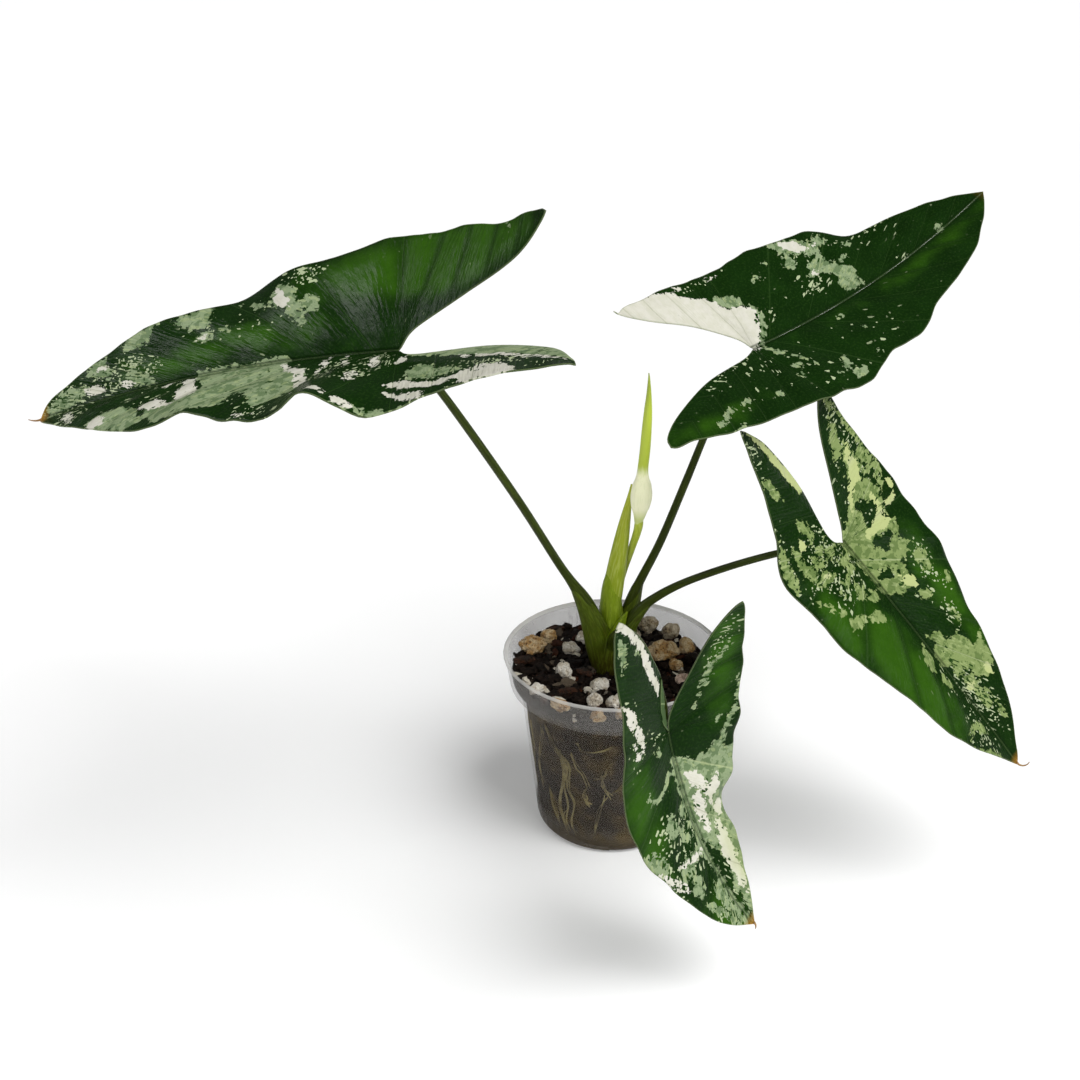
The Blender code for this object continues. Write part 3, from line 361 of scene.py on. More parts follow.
# Stalks: points and radii in millimetres, from inside the crown to just under the blade
PETIOLE_ROUTES = {
    "left": (
        (-6.3, -0.6, 90, 2.2), (-7.4, -1.4, 100, 2.8), (-9.6, -3.2, 110, 3.7),
        (-14.6, -5.5, 121.5, 3.4), (-21.0, -9.3, 133.5, 2.2), (-27.6, -13.6, 146, 1.9),
        (-44.4, -26.4, 180.8, 1.8), (-66.2, -43.6, 223, 1.7), (-78.1, -55.0, 245, 1.5),
        (-86.6, -63.1, 255.8, 1.0),
    ),
    "back": (
        (2.0, 2.8, 90, 2.0), (3.4, 4.2, 99.5, 2.4), (6.2, 5.6, 110, 2.8),
        (9.5, 5.6, 119.9, 2.6), (12.2, 5.6, 126.8, 2.1), (20.8, 5.9, 146.7, 1.9),
        (31.2, 6.9, 176.3, 1.8), (40.4, 7.4, 203, 1.6), (51.0, 7.5, 226, 1.4),
        (56.8, 7.9, 234.6, 1.0),
    ),
    "right": (
        (2.6, -2.8, 90, 1.9), (4.4, -3.0, 101, 2.2), (9.0, -2.8, 112.4, 2.4),
        (18.4, -2.0, 120.9, 2.1), (31.8, -2.2, 129.0, 1.8), (51.0, -7.6, 139.8, 1.7),
        (69.7, -14.5, 149.5, 1.6), (86.0, -20.6, 156.4, 1.4), (94.6, -24.8, 157.8, 1.0),
    ),
    "front": (
        (-1.8, -4.6, 90, 1.9), (-1.6, -6.6, 98, 2.3), (-0.6, -13.0, 106, 2.5),
        (1.5, -26.0, 116, 2.2), (4.5, -46.0, 126, 2.0), (8.0, -68.0, 131.5, 1.8),
        (11.2, -90.0, 131.0, 1.6), (13.4, -104.0, 126.9, 1.4), (14.0, -110.3, 121.8, 1.0),
    ),
}
SHEATH_ROUTE = (
    (-2.2, 1.6, 90, 1.9), (-2.2, 2.0, 99, 2.0), (-2.3, 2.8, 105, 3.4), (-1.9, 3.6, 113, 4.5),
    (-0.4, 4.4, 126, 4.6), (1.6, 6.0, 140, 3.9), (3.8, 8.0, 154, 2.7), (5.9, 9.4, 167, 1.1),
    (6.7, 9.8, 173, 0.4),
)
PEDUNCLE_ROUTE = (
    (-0.8, 6.4, 90, 1.2), (0.2, 9.0, 101, 1.3), (1.8, 11.2, 114, 1.4), (4.4, 11.4, 127.5, 1.5),
    (7.4, 9.4, 140, 1.7), (9.6, 5.4, 151, 1.9), (10.1, 3.0, 156.6, 2.0), (10.2, 2.6, 160, 1.5),
)
SPATHE_ROUTE = (
    (9.9, 3.4, 155.4, 1.6), (10.0, 2.8, 158.5, 2.2), (10.3, 2.4, 162, 3.1), (10.5, 2.3, 165.6, 4.3),
    (10.8, 2.1, 170.6, 4.9), (10.9, 2.0, 175.6, 4.3), (10.9, 2.0, 180, 2.9),
    (11.0, 2.0, 184.6, 2.4), (11.6, 2.0, 192.6, 2.35), (12.0, 2.1, 201.6, 2.2),
    (12.3, 2.2, 210.6, 1.8), (12.4, 2.4, 218.6, 1.1), (12.2, 2.6, 225.6, 0.45),
    (12.0, 2.7, 228.0, 0.2),
)
CROWN_ROUTE = (
    (-3.4, 0.0, 74.0, 6.0), (-3.2, 0.1, 77.6, 6.4), (-3.0, 0.3, 81.1, 7.0), (-2.9, 0.4, 84.7, 7.8),
    (-2.7, 0.5, 88.3, 8.5), (-2.3, 0.7, 91.9, 8.9), (-1.6, 0.9, 96.5, 8.8), (-0.8, 1.2, 102.0, 7.6),
    (-0.4, 1.6, 107.0, 5.2), (-0.3, 2.0, 110.0, 2.0),
)

# Sheath bases round the crown, in the same form
SHEATH_BASES = {
    "left": (
        (-5.0, -0.8, 82, 4.6), (-6.2, -1.5, 90, 5.8), (-7.8, -2.5, 98, 6.0), (-9.9, -3.8, 106, 5.3),
        (-12.6, -5.0, 114, 4.3), (-15.6, -6.6, 121, 3.1), (-18.4, -8.0, 127.5, 2.2),
        (-20.4, -9.1, 132, 1.5),
    ),
    "back": (
        (0.6, 1.6, 82, 5.0), (2.4, 2.2, 90, 5.6), (4.2, 3.0, 98, 5.2), (6.0, 4.2, 106, 4.2),
        (8.4, 5.2, 113, 3.2), (10.4, 5.6, 119, 2.3), (12.0, 5.7, 124, 1.4),
    ),
    "right": (
        (2.0, -1.4, 92, 3.2), (3.6, -2.4, 99, 3.3), (6.0, -2.9, 105, 3.0), (9.2, -2.9, 110.6, 2.5),
        (13.8, -2.5, 116.6, 2.0), (18.4, -2.1, 120.7, 1.4),
    ),
}
OLD_SHEATH_ROUTE = (
    (-1.4, 0.4, 92, 5.4), (-1.6, 1.2, 99, 6.3), (-1.6, 2.2, 106, 6.3), (-1.7, 2.8, 112, 5.6),
    (-1.8, 3.2, 118, 4.9), (-1.9, 3.6, 123, 4.3), (-2.2, 3.8, 127.5, 3.2), (-2.8, 3.9, 130.5, 1.8),
)
BRACT_ROUTE = (
    (-2.6, -5.6, 93, 1.6), (-1.4, -6.0, 98, 3.0), (0.4, -5.6, 103, 3.4), (2.6, -4.4, 108, 2.4),
    (4.6, -3.4, 112, 1.1), (5.6, -3.0, 114.2, 0.3),
)

# Pot, in millimetres
POT_HEIGHT = 92.0
RIM_RADIUS = 52.5
LIP = 1.0
COLLAR_TOP_RADIUS = 51.6
COLLAR_FOOT_RADIUS = 49.4
COLLAR_FOOT_HEIGHT = 76.4
WALL_TOP_RADIUS = 44.6
WALL_TOP_HEIGHT = 75.0
WALL_FOOT_RADIUS = 36.2
BASE_CORNER = 3.6
POT_WALL = 1.2

# Soil
SOIL_HEIGHT = 82.5
SOIL_RISE_TO_FRONT = 0.035
SOIL_RELIEF = 1.1
SOIL_GRAIN = 7.0
SOIL_RINGS = 34
SOIL_STEPS = 120
LITTER_COUNT = 620
CRUMB_COUNT = 900
LITTER_SEED = 11

# Stones and bark: x, y, height of the centre, then the three sizes and the turn about Z
STONES = (
    ("pumice_tan_01", (-38.6, 16.0, 85.4), (13.0, 11.0, 9.0), 20),
    ("pumice_tan_02", (-31.0, 25.6, 84.6), (9.0, 8.0, 7.5), 50),
    ("pumice_tan_03", (24.6, 9.4, 85.6), (15.0, 11.5, 10.0), 15),
    ("pumice_tan_04", (36.3, 15.4, 85.2), (7.5, 10.0, 8.0), -20),
    ("pumice_tan_05", (29.8, -1.4, 84.6), (6.5, 5.5, 5.5), 0),
    ("pumice_grey_01", (19.6, 37.2, 84.8), (9.5, 8.5, 8.5), 10),
    ("pumice_grey_02", (30.2, 31.0, 84.8), (9.0, 8.5, 8.5), 70),
    ("pumice_grey_03", (12.2, 29.6, 83.4), (7.0, 6.0, 5.5), 35),
    ("pumice_white_01", (-20.0, 14.6, 84.3), (8.5, 7.0, 6.5), -15),
    ("pumice_white_02", (-13.6, 25.4, 84.2), (7.5, 6.5, 6.5), 40),
    ("pumice_white_03", (-24.2, -9.0, 85.2), (7.5, 9.5, 8.5), 10),
    ("pumice_white_04", (-7.4, -20.2, 84.8), (9.0, 7.5, 6.5), 25),
    ("pumice_white_05", (-10.2, -36.4, 86.0), (7.0, 6.5, 9.0), 0),
    ("pumice_white_06", (-2.2, -37.6, 85.6), (6.8, 6.4, 8.0), 60),
    ("pumice_pink_01", (32.6, -17.4, 85.0), (8.5, 9.5, 8.0), 30),
    ("pumice_white_07", (-36.2, -23.6, 84.6), (7.5, 6.0, 5.5), 30),
)
BARK = (
    ("bark_01", (-42.6, 2.6, 85.0), (10.0, 5.5, 3.6), 10),
    ("bark_02", (40.6, 3.4, 85.0), (11.0, 4.5, 3.6), -60),
    ("bark_03", (-27.6, 36.0, 82.7), (11.0, 5.0, 4.0), 25),
    ("bark_04", (-14.0, -8.0, 84.4), (9.0, 5.0, 3.4), -35),
    ("bark_05", (16.0, -22.0, 84.6), (12.0, 5.0, 3.6), 40),
    ("bark_06", (-23.0, -26.0, 84.8), (10.0, 5.0, 3.4), 15),
    ("bark_07", (2.0, 42.0, 82.4), (10.0, 5.0, 3.6), 0),
    ("bark_08", (13.0, -37.0, 85.2), (9.5, 5.0, 3.4), -25),
)
# Stones that the view shows through the collar: finish, heading in degrees, height of the
# centre, and sizes inwards, along the wall and upright
WALL_STONES = (
    ("pumice_tan", 237.0, 86.4, (4.6, 10.5, 6.0)), ("pumice_white", 246.1, 81.7, (3.2, 3.6, 3.6)),
    ("pumice_tan", 258.6, 84.2, (5.0, 6.8, 6.0)), ("pumice_tan", 270.6, 86.6, (4.4, 4.4, 5.0)),
)
WALL_STONE_GAP = 0.05

STONE_ROUGHNESS = 0.22
STONE_CREASE = 0.34
STONE_LUMPS = 1.15
CLUSTER_LUMPS = 1.9
CLUSTER_SIZE = 12.0
STONE_SEED = 7

# Roots behind the wall that the view shows: thickness, then headings in degrees and heights
ROOT_TRACES = (
    (0.9, ((219.5, 66.7), (226.4, 58.9), (232.1, 52), (232.4, 40), (227.1, 25.9), (229.3, 14.1),
           (231.5, 7))),
    (0.8, ((232.2, 53.8), (237.9, 47.8), (235.1, 34.8), (239.3, 26.7), (236.5, 13.2), (239.7, 7))),
    (0.7, ((230.4, 56), (235, 47), (232.6, 36), (234.4, 24), (231.6, 15), (235, 8))),
    (0.6, ((217, 28.1), (219.3, 16.6), (226.1, 7))),
    (0.5, ((244, 64.4), (249, 60.1), (259.7, 62.4), (268.6, 65.9))),
    (0.6, ((266.6, 34.2), (263.1, 40.2), (259.8, 47.4))),
    (0.5, ((285.3, 51.6), (278.1, 43.2), (267.8, 37.4))),
    (0.6, ((263.2, 34.1), (259.9, 26.2), (257, 17.6), (255.5, 9), (252.3, 6))),
    (0.5, ((215.9, 63.5), (204.4, 40.6), (208.1, 24.2))),
    (1.1, ((249.6, 38.4), (247.9, 34), (250.4, 30.5), (252.9, 29.2))),
    (0.4, ((240, 58), (243, 50), (247.5, 46), (251, 38.6))),
    (0.4, ((270, 58), (264, 52), (262, 47), (255, 44))),
)
TRACE_STRANDS = 4
TRACE_DRIFT = 0.9
ROOT_STRANDS = 34
ROOT_POINTS = 16
ROOT_SEED = 5

# Dried drip points at the ends of three blades: length in millimetres, curl in degrees a step
DRIP_POINTS = {"left": (5.0, 7.0), "right": (6.0, 24.0), "front": (2.4, -10.0)}
DRIP_STEPS = 7
DRIP_RADIUS = 0.55


def tone(red, green, blue):
    """A linear colour from the three parts, 0 to 255, of one seen on a screen."""
    parts = []
    for part in (red, green, blue):
        share = part / 255.0
        parts.append(share / 12.92 if share <= 0.04045 else ((share + 0.055) / 1.055) ** 2.4)
    return (*parts, 1.0)


class Flow:
    """A value that runs through a finish's nodes, with arithmetic."""

    def __init__(self, finish, socket):
        self.finish = finish
        self.socket = socket

    def __add__(self, other):
        return self.finish.maths("ADD", self, other)

    __radd__ = __add__

    def __sub__(self, other):
        return self.finish.maths("SUBTRACT", self, other)

    def __rsub__(self, other):
        return self.finish.maths("SUBTRACT", other, self)

    def __mul__(self, other):
        return self.finish.maths("MULTIPLY", self, other)

    __rmul__ = __mul__

    def __truediv__(self, other):
        return self.finish.maths("DIVIDE", self, other)

    def __pow__(self, other):
        return self.finish.maths("POWER", self, other)


class Finish:
    """One material: its nodes, and the shader that they feed."""

    def __init__(self, name):
        self.material = bpy.data.materials.new(name)
        self.material.use_nodes = True
        self.tree = self.material.node_tree
        self.shader = self.tree.nodes["Principled BSDF"]

    def node(self, kind, settings, sockets, output=0):
        """Adds a node, sets it up and feeds its sockets, which are named or numbered."""
        made = self.tree.nodes.new(kind)
        for key, value in settings.items():
            setattr(made, key, value)
        for key, value in sockets.items():
            self.feed(made.inputs[key], value)
        return Flow(self, made.outputs[output])

    def feed(self, socket, value):
        if isinstance(value, Flow):
            self.tree.links.new(value.socket, socket)
        else:
            socket.default_value = value

    def maths(self, operation, *values):
        return self.node("ShaderNodeMath", {"operation": operation}, dict(enumerate(values)))

    def least(self, one, other):
        return self.maths("MINIMUM", one, other)

    def most(self, one, other):
        return self.maths("MAXIMUM", one, other)

    def step(self, value, low, high):
        """0 below low and 1 above high, with a soft rise between."""
        return self.node(
            "ShaderNodeMapRange",
            {"interpolation_type": "SMOOTHSTEP"},
            {"Value": value, "From Min": low, "From Max": high},
        )

    def blend(self, share, one, other):
        """The first colour where share is 0, the other where it is 1."""
        return self.node(
            "ShaderNodeMix", {"data_type": "RGBA"}, {0: share, 6: one, 7: other}, output=2
        )

    def attribute(self, name):
        return self.node("ShaderNodeAttribute", {"attribute_name": name}, {}, output=2)

    def attribute_place(self, name):
        return self.node("ShaderNodeAttribute", {"attribute_name": name}, {}, output=1)

    def place(self):
        """The object's own coordinates."""
        return self.node("ShaderNodeTexCoord", {}, {}, output=3)

    def height(self, place):
        return self.node("ShaderNodeSeparateXYZ", {}, {0: place}, output=2)

    def stretched(self, place, x, y, z):
        return self.node(
            "ShaderNodeVectorMath", {"operation": "MULTIPLY"}, {0: place, 1: (x, y, z)}
        )

    def grain(self, place, scale, detail=2.0, rough=0.5):
        return self.node(
            "ShaderNodeTexNoise",
            {},
            {"Vector": place, "Scale": scale, "Detail": detail, "Roughness": rough},
        )

    def cells(self, place, scale):
        """How far each place is from the middle of its cell."""
        return self.node("ShaderNodeTexVoronoi", {}, {"Vector": place, "Scale": scale})

    def mosaic(self, place, scale):
        """Angular blocks, each with an even random value of its own."""
        colour = self.node("ShaderNodeTexVoronoi", {}, {"Vector": place, "Scale": scale}, output=1)
        return self.node("ShaderNodeSeparateColor", {}, {0: colour})

    def relief(self, height, distance, strength=1.0):
        """Surface relief from a height, as deep as distance in metres."""
        return self.node(
            "ShaderNodeBump", {}, {"Height": height, "Distance": distance, "Strength": strength}
        )

    def finish(self, **sockets):
        for key, value in sockets.items():
            self.feed(self.shader.inputs[key.replace("_", " ")], value)
        return self.material


def blade_finish(name, upper):
    """A blade's face: dark green, marked with grey-green and cream along its veins."""
    made = Finish(name)
    flat = made.attribute_place("flat")
    flow = made.attribute_place("flow")
    flecks = made.attribute("flecks")
    course = made.attribute("course")
    rib = made.attribute("rib")

    cloud = made.grain(flat, 0.07, 3.0)
    ragged = made.grain(flat, 0.26, 5.0, 0.55)
    streaks = made.grain(flow, 0.5, 3.0, 0.55)
    shred = made.grain(flat, 1.0, 3.0, 0.55)
    blocks = made.mosaic(flat, 0.45)
    bits = made.mosaic(flow, 0.85)
    grit = made.mosaic(flat, 1.3)

    edge = (ragged - 0.5) * 5.0 + (streaks - 0.5) * 2.0 + (blocks - 0.5) * 1.8 + (bits - 0.5) * 1.1
    sage = made.step(made.attribute("sage") + edge, -0.06, 0.08)
    cream = made.step(made.attribute("cream") + edge * 0.8, -0.06, 0.08)
    crowd = flecks * flecks
    speck = made.step(made.most(bits + crowd * 0.28, grit + crowd * 0.22), 0.998, 1.004)
    pock = 1.0 - made.step(made.least(bits - crowd * 0.26, grit - crowd * 0.18), -0.004, 0.002)

    vein_share = made.maths("PINGPONG", course, 0.5)
    vein = 1.0 - made.step(vein_share, 0.004, 0.022)
    # Painted shade: the colour darkens in a wide band along each side vein, where the quilted blade
    # sinks.
    vein_groove_shade = 1.0 - made.step(vein_share, 0.0, 0.2)

    deep = made.blend(cloud, tone(9, 28, 5), tone(20, 48, 10))
    middle = made.blend(ragged, tone(36, 72, 10), tone(50, 88, 16))
    glow = made.step(made.attribute("glow") + (cloud - 0.5) * 1.2, 0.1, 1.0)
    # The painted vein shade dims the mid-green near the veins.
    green = made.blend(glow * (1.0 - vein_groove_shade * 0.6), deep, middle)
    green = made.blend(made.step(shred, 0.5, 0.66) * 0.16, green, tone(60, 92, 36))
    green = made.blend(vein * 0.16, green, tone(70, 100, 50))

    warm = made.attribute("warm")
    pale = made.blend(warm, tone(100, 120, 84), tone(98, 118, 66))
    lighter = made.blend(warm, tone(134, 150, 114), tone(126, 143, 88))
    shade = made.step(ragged + (blocks - 0.5) * 0.12 + (cloud - 0.5) * 0.5, 0.47, 0.5)
    pale = made.blend(shade, pale, lighter)
    pale = made.blend(made.step(bits, 0.86, 0.88) * 0.35, pale, tone(170, 182, 128))
    pale = made.blend(made.step(shred, 0.58, 0.61) * 0.25, pale, tone(84, 108, 60))
    pale = made.blend(vein * 0.5, pale, tone(172, 184, 138))
    white = made.blend(made.step(ragged, 0.35, 0.65), tone(198, 197, 181), tone(206, 204, 192))
    white = made.blend(warm * 0.85, white, tone(168, 180, 108))
    # The painted vein shade greys the cream near the veins.
    white = made.blend(vein_groove_shade * 0.2, white, tone(176, 178, 154))
    white = made.blend(vein * 0.45, white, tone(156, 160, 128))

    marked = made.most(sage, cream)
    colour = made.blend(sage, green, pale)
    colour = made.blend(cream, colour, white)
    colour = made.blend(speck * (1.0 - marked), colour, tone(168, 180, 142))
    colour = made.blend(pock * marked, colour, tone(34, 62, 20))
    rib_line = 1.0 - made.step(rib, 0.2, 0.55)
    # Painted shade: dark bands along both sides of the raised midrib.
    midrib_side_shade = made.step(rib, 0.3, 0.6) * (1.0 - made.step(rib, 0.9, 1.8))
    colour = made.blend(midrib_side_shade * 0.6, colour, tone(14, 34, 8))
    colour = made.blend(rib_line * 0.22, colour, tone(108, 132, 84))
    # Painted highlight: a pale line along the blade's margin, where its edge would catch the light.
    margin_highlight = 1.0 - made.step(made.attribute("rim"), 0.15, 0.45)
    colour = made.blend(margin_highlight * 0.3, colour, tone(140, 154, 110))
    colour = made.blend(made.attribute("dry"), colour, tone(150, 112, 44))

    ridges = made.grain(made.stretched(flow, 1.0, 0.35, 1.0), 0.6, 2.0, 0.5)
    relief = ridges * 0.9 + shred * 0.1 + rib_line * 0.9 - vein * 0.35
    rough = 0.22 + cloud * 0.1 + marked * 0.1
    if not upper:
        colour = made.blend(0.45, colour, tone(96, 120, 78))
        colour = made.blend(vein * 0.6, colour, tone(150, 168, 120))
        rough = 0.52
    return made.finish(
        Base_Color=colour,
        Roughness=rough,
        Specular_IOR_Level=0.04,
        Normal=made.relief(relief, 0.0006, 0.8),
    )


def stalk_finish(name, low, high, low_height, high_height, streak):
    """A stalk's skin: fine ribs along it, from one green to another up its height."""
    made = Finish(name)
    grain = made.attribute_place("grain")
    ribs = made.grain(made.stretched(grain, 1.0, 1.0, 0.05), 1.5, 3.0, 0.6)
    blotch = made.grain(made.stretched(grain, 1.0, 1.0, 0.25), 0.5, 3.0, 0.6)
    rise = made.step(made.height(made.place()), low_height * MM, high_height * MM)
    colour = made.blend(rise, low, high)
    colour = made.blend(made.step(ribs, 0.45, 0.62) * 0.55, colour, streak)
    colour = made.blend(made.step(blotch, 0.5, 0.7) * 0.5, colour, low)
    return made.finish(
        Base_Color=colour,
        Roughness=0.4 + (blotch - 0.5) * 0.2,
        Specular_IOR_Level=0.12,
        Normal=made.relief(ribs, 0.0005, 0.7),
    )


def spathe_finish(name):
    """The flower's hood: a cream bulb under a yellow-green limb."""
    made = Finish(name)
    grain = made.attribute_place("grain")
    ribs = made.grain(made.stretched(grain, 1.0, 1.0, 0.06), 1.3, 3.0, 0.6)
    height = made.height(made.place())
    limb = made.step(height + (ribs - 0.5) * 0.006, 0.180, 0.186)
    tip = made.step(height, 0.206, 0.226)
    colour = made.blend(limb, tone(255, 255, 214), tone(182, 199, 56))
    colour = made.blend(tip * 0.7, colour, tone(134, 150, 56))
    colour = made.blend(made.step(ribs, 0.5, 0.62) * 0.1, colour, tone(176, 196, 78))
    foot = 1.0 - made.step(height, 0.158, 0.166)
    colour = made.blend(foot * 0.75, colour, tone(190, 206, 96))
    return made.finish(
        Base_Color=colour, Roughness=0.42, Normal=made.relief(ribs, 0.0004, 0.5)
    )


def pot_finish(name):
    """Clear plastic, hazed, scratched and stained from inside near its foot."""
    made = Finish(name)
    place = made.place()
    height = made.height(place)
    upright = made.grain(made.stretched(place, 1.0, 1.0, 0.12), 480.0, 2.0, 0.5)
    level = made.grain(made.stretched(place, 0.22, 0.22, 1.0), 420.0, 2.0, 0.5)
    haze = made.grain(place, 38.0, 4.0)
    stain = made.grain(place, 75.0, 4.0, 0.6)
    collar = made.step(height, 0.0745, 0.0765)
    lip = made.step(height, 0.0900, 0.0906)
    foot = 1.0 - made.step(height + (stain - 0.5) * 0.012, 0.004, 0.016)
    aside = made.node("ShaderNodeSeparateXYZ", {}, {0: place}, output=1)
    back = made.step(aside, -0.010, 0.020)
    lines = made.step(upright, 0.66, 0.72) + made.step(level, 0.68, 0.73)
    alpha = 0.10 + made.step(haze, 0.4, 0.7) * 0.09 + lines * 0.08
    alpha = alpha + collar * (back * 0.2 + 0.1) + lip * 0.3 + foot * 0.75
    film = made.blend(made.step(stain, 0.44, 0.6), tone(112, 106, 98), tone(128, 112, 80))
    film = made.blend(foot, film, tone(62, 52, 34))
    colour = made.blend(collar, film, tone(150, 147, 143))
    colour = made.blend(lip, colour, tone(206, 204, 200))
    return made.finish(
        Base_Color=colour,
        Alpha=made.least(alpha, 0.95),
        Specular_IOR_Level=0.2,
        Roughness=0.2 + haze * 0.2,
        Normal=made.relief(haze, 0.0008, 0.3),
    )


def soil_finish(name):
    """Dark peat and bark, with reddish and grey bits."""
    made = Finish(name)
    place = made.place()
    tint = made.attribute("tint")
    crumb = made.grain(place, 420.0, 5.0, 0.7)
    lump = made.cells(place, 240.0)
    bed = 1.0 - made.step(tint, 0.0005, 0.001)
    clod = made.grain(place, 150.0, 4.0, 0.6)
    colour = made.blend(made.step(crumb, 0.3, 0.7), tone(8, 6, 5), tone(36, 27, 22))
    colour = made.blend(made.step(clod, 0.5, 0.62) * bed * 0.5, colour, tone(60, 50, 43))
    colour = made.blend(made.step(clod, 0.62, 0.66) * bed * 0.4, colour, tone(98, 90, 78))
    colour = made.blend(made.step(tint, 0.74, 0.78) * 0.6, colour, tone(74, 40, 26))
    colour = made.blend(made.step(tint, 0.86, 0.88), colour, tone(84, 74, 62))
    colour = made.blend(made.step(tint, 0.955, 0.958), colour, tone(206, 198, 182))
    colour = made.blend(made.step(crumb, 0.62, 0.72) * 0.35, colour, tone(74, 56, 42))
    return made.finish(
        Base_Color=colour,
        Roughness=0.72,
        Specular_IOR_Level=0.15,
        Normal=made.relief(crumb + lump * 0.5, 0.0015, 0.9),
    )


def stone_finish(name, light, dark, stain):
    """Pumice: pitted and unevenly stained."""
    made = Finish(name)
    place = made.place()
    cloud = made.grain(place, 240.0, 4.0, 0.6)
    pits = made.cells(place, 1100.0)
    fine = made.grain(place, 900.0, 4.0, 0.7)
    colour = made.blend(made.step(cloud, 0.42, 0.6), light, dark)
    colour = made.blend(made.step(fine, 0.52, 0.62) * 0.5, colour, stain)
    dirt = made.step(fine + (cloud - 0.5) * 0.8, 0.62, 0.7)
    colour = made.blend(dirt * 0.8, colour, tone(38, 28, 20))
    # Painted shade: the pits, which the relief sinks, are darkened towards their middles.
    colour = made.blend((1.0 - made.step(pits, 0.05, 0.3)) * 0.5, colour, tone(60, 48, 38))
    return made.finish(
        Base_Color=colour,
        Roughness=0.85,
        Normal=made.relief(pits + fine * 1.4, 0.0008, 0.9),
    )


def root_finish(name):
    """Roots seen through the wall: olive-yellow, mottled paler and darker."""
    made = Finish(name)
    place = made.place()
    cloud = made.grain(place, 110.0, 3.0)
    fine = made.grain(place, 900.0, 3.0)
    colour = made.blend(made.step(cloud, 0.35, 0.65), tone(60, 52, 30), tone(130, 120, 78))
    colour = made.blend(made.step(fine, 0.5, 0.7) * 0.5, colour, tone(58, 46, 28))
    return made.finish(
        Base_Color=colour, Roughness=0.6, Normal=made.relief(fine, 0.0004, 0.6)
    )


def paper_finish(name):
    """The studio's white paper."""
    made = Finish(name)
    return made.finish(
        Base_Color=(0.86, 0.86, 0.86, 1.0),
        Roughness=0.95,
        Specular_IOR_Level=0.0,
        Emission_Color=(1.0, 1.0, 1.0, 1.0),
        Emission_Strength=FLOOR_GLOW,
    )


def shown(name, bm, materials, slot, replaces=(), smooth=True):
    """A new piece of the plant from a bmesh, riding on the plant's body."""
    mesh = bpy.data.meshes.new(name)
    bm.to_mesh(mesh)
    bm.free()
    if smooth:
        mesh.shade_smooth()
    for material in materials:
        mesh.materials.append(material)
    made = bpy.data.objects.new(name, mesh)
    bpy.context.scene.collection.objects.link(made)
    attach(made, "root")
    if replaces:
        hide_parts(*replaces)
    return made


def spline_point(four, t):
    """The point at share t of the span between the middle two of four points."""
    weights = (
        -t + 2 * t**2 - t**3,
        2 - 5 * t**2 + 3 * t**3,
        t + 4 * t**2 - 3 * t**3,
        -(t**2) + t**3,
    )
    return tuple(0.5 * sum(w * p[axis] for w, p in zip(weights, four)) for axis in range(len(four[0])))


def spline(points, per_span):
    """A Catmull-Rom curve through points, with per_span steps between each two."""
    first = [2 * a - b for a, b in zip(points[0], points[1])]
    last = [2 * a - b for a, b in zip(points[-1], points[-2])]
    run = [first, *points, last]
    curve = []
    for i in range(1, len(run) - 2):
        for step in range(per_span):
            curve.append(spline_point(run[i - 1 : i + 3], step / per_span))
    curve.append(tuple(points[-1]))
    return curve


def along_points(points, row):
    """The Catmull-Rom point at row, where whole rows are the points themselves."""
    index = min(int(row), len(points) - 2)
    first = [2 * a - b for a, b in zip(points[0], points[1])]
    last = [2 * a - b for a, b in zip(points[-1], points[-2])]
    run = [first, *points, last]
    return spline_point(run[index : index + 4], row - index)


def tube(bm, route, sides, shape=None):
    """Adds a closed tube along (x, y, z, radius) points in millimetres.

    shape(share, angle) scales the radius. Each point keeps where it lies in the stalk's grain.
    """
    grain = bm.verts.layers.float_vector.get("grain") or bm.verts.layers.float_vector.new("grain")
    rings = []
    across = None
    run = 0.0
    last = len(route) - 1
    for i, (x, y, z, radius) in enumerate(route):
        before = Vector(route[max(i - 1, 0)][:3])
        after = Vector(route[min(i + 1, last)][:3])
        along = (after - before).normalized()
        here = Vector((x, y, z))
        run += (here - Vector(route[max(i - 1, 0)][:3])).length
        if across is None:
            across = Vector((0.0, -1.0, 0.0))
        across = (across - along * across.dot(along)).normalized()
        aside = along.cross(across)
        circle = bmesh.ops.create_circle(bm, segments=sides, radius=1.0)["verts"]
        for vert in circle:
            angle = math.atan2(vert.co.y, vert.co.x)
            reach = radius * (shape(i / last, angle) if shape else 1.0)
            vert[grain] = (reach * math.cos(angle), reach * math.sin(angle), run)
            offset = across * (reach * math.cos(angle)) + aside * (reach * math.sin(angle))
            vert.co = (here + offset) * MM
        rings.append(circle)
    for low, high in zip(rings, rings[1:]):
        for i in range(sides):
            bm.faces.new((low[i - 1], low[i], high[i], high[i - 1]))
    for ring in (rings[0], rings[-1]):
        bm.faces.new(ring)
    return bm


def tidy(bm):
    bmesh.ops.recalc_face_normals(bm, faces=bm.faces)
    return bm


def gather(bm, part):
    """Adds a small bmesh to a growing one."""
    mesh = bpy.data.meshes.new("part")
    part.to_mesh(mesh)
    part.free()
    bm.from_mesh(mesh)
    bpy.data.meshes.remove(mesh)


def bend(leaf, half, share):
    """Pitch and turn of the midrib's line at shares of the blade's length."""
    ahead = np.maximum(share, 0.0)
    pitch = -math.radians(leaf["droop"]) * ahead**DROOP_POWER
    pitch = np.where(share >= 0, pitch, math.radians(half["lobe_lift"]) * share / LOBE_SHARE)
    turn = np.where(share >= 0, math.radians(leaf["sway"]) * share, 0.0)
    return pitch, turn


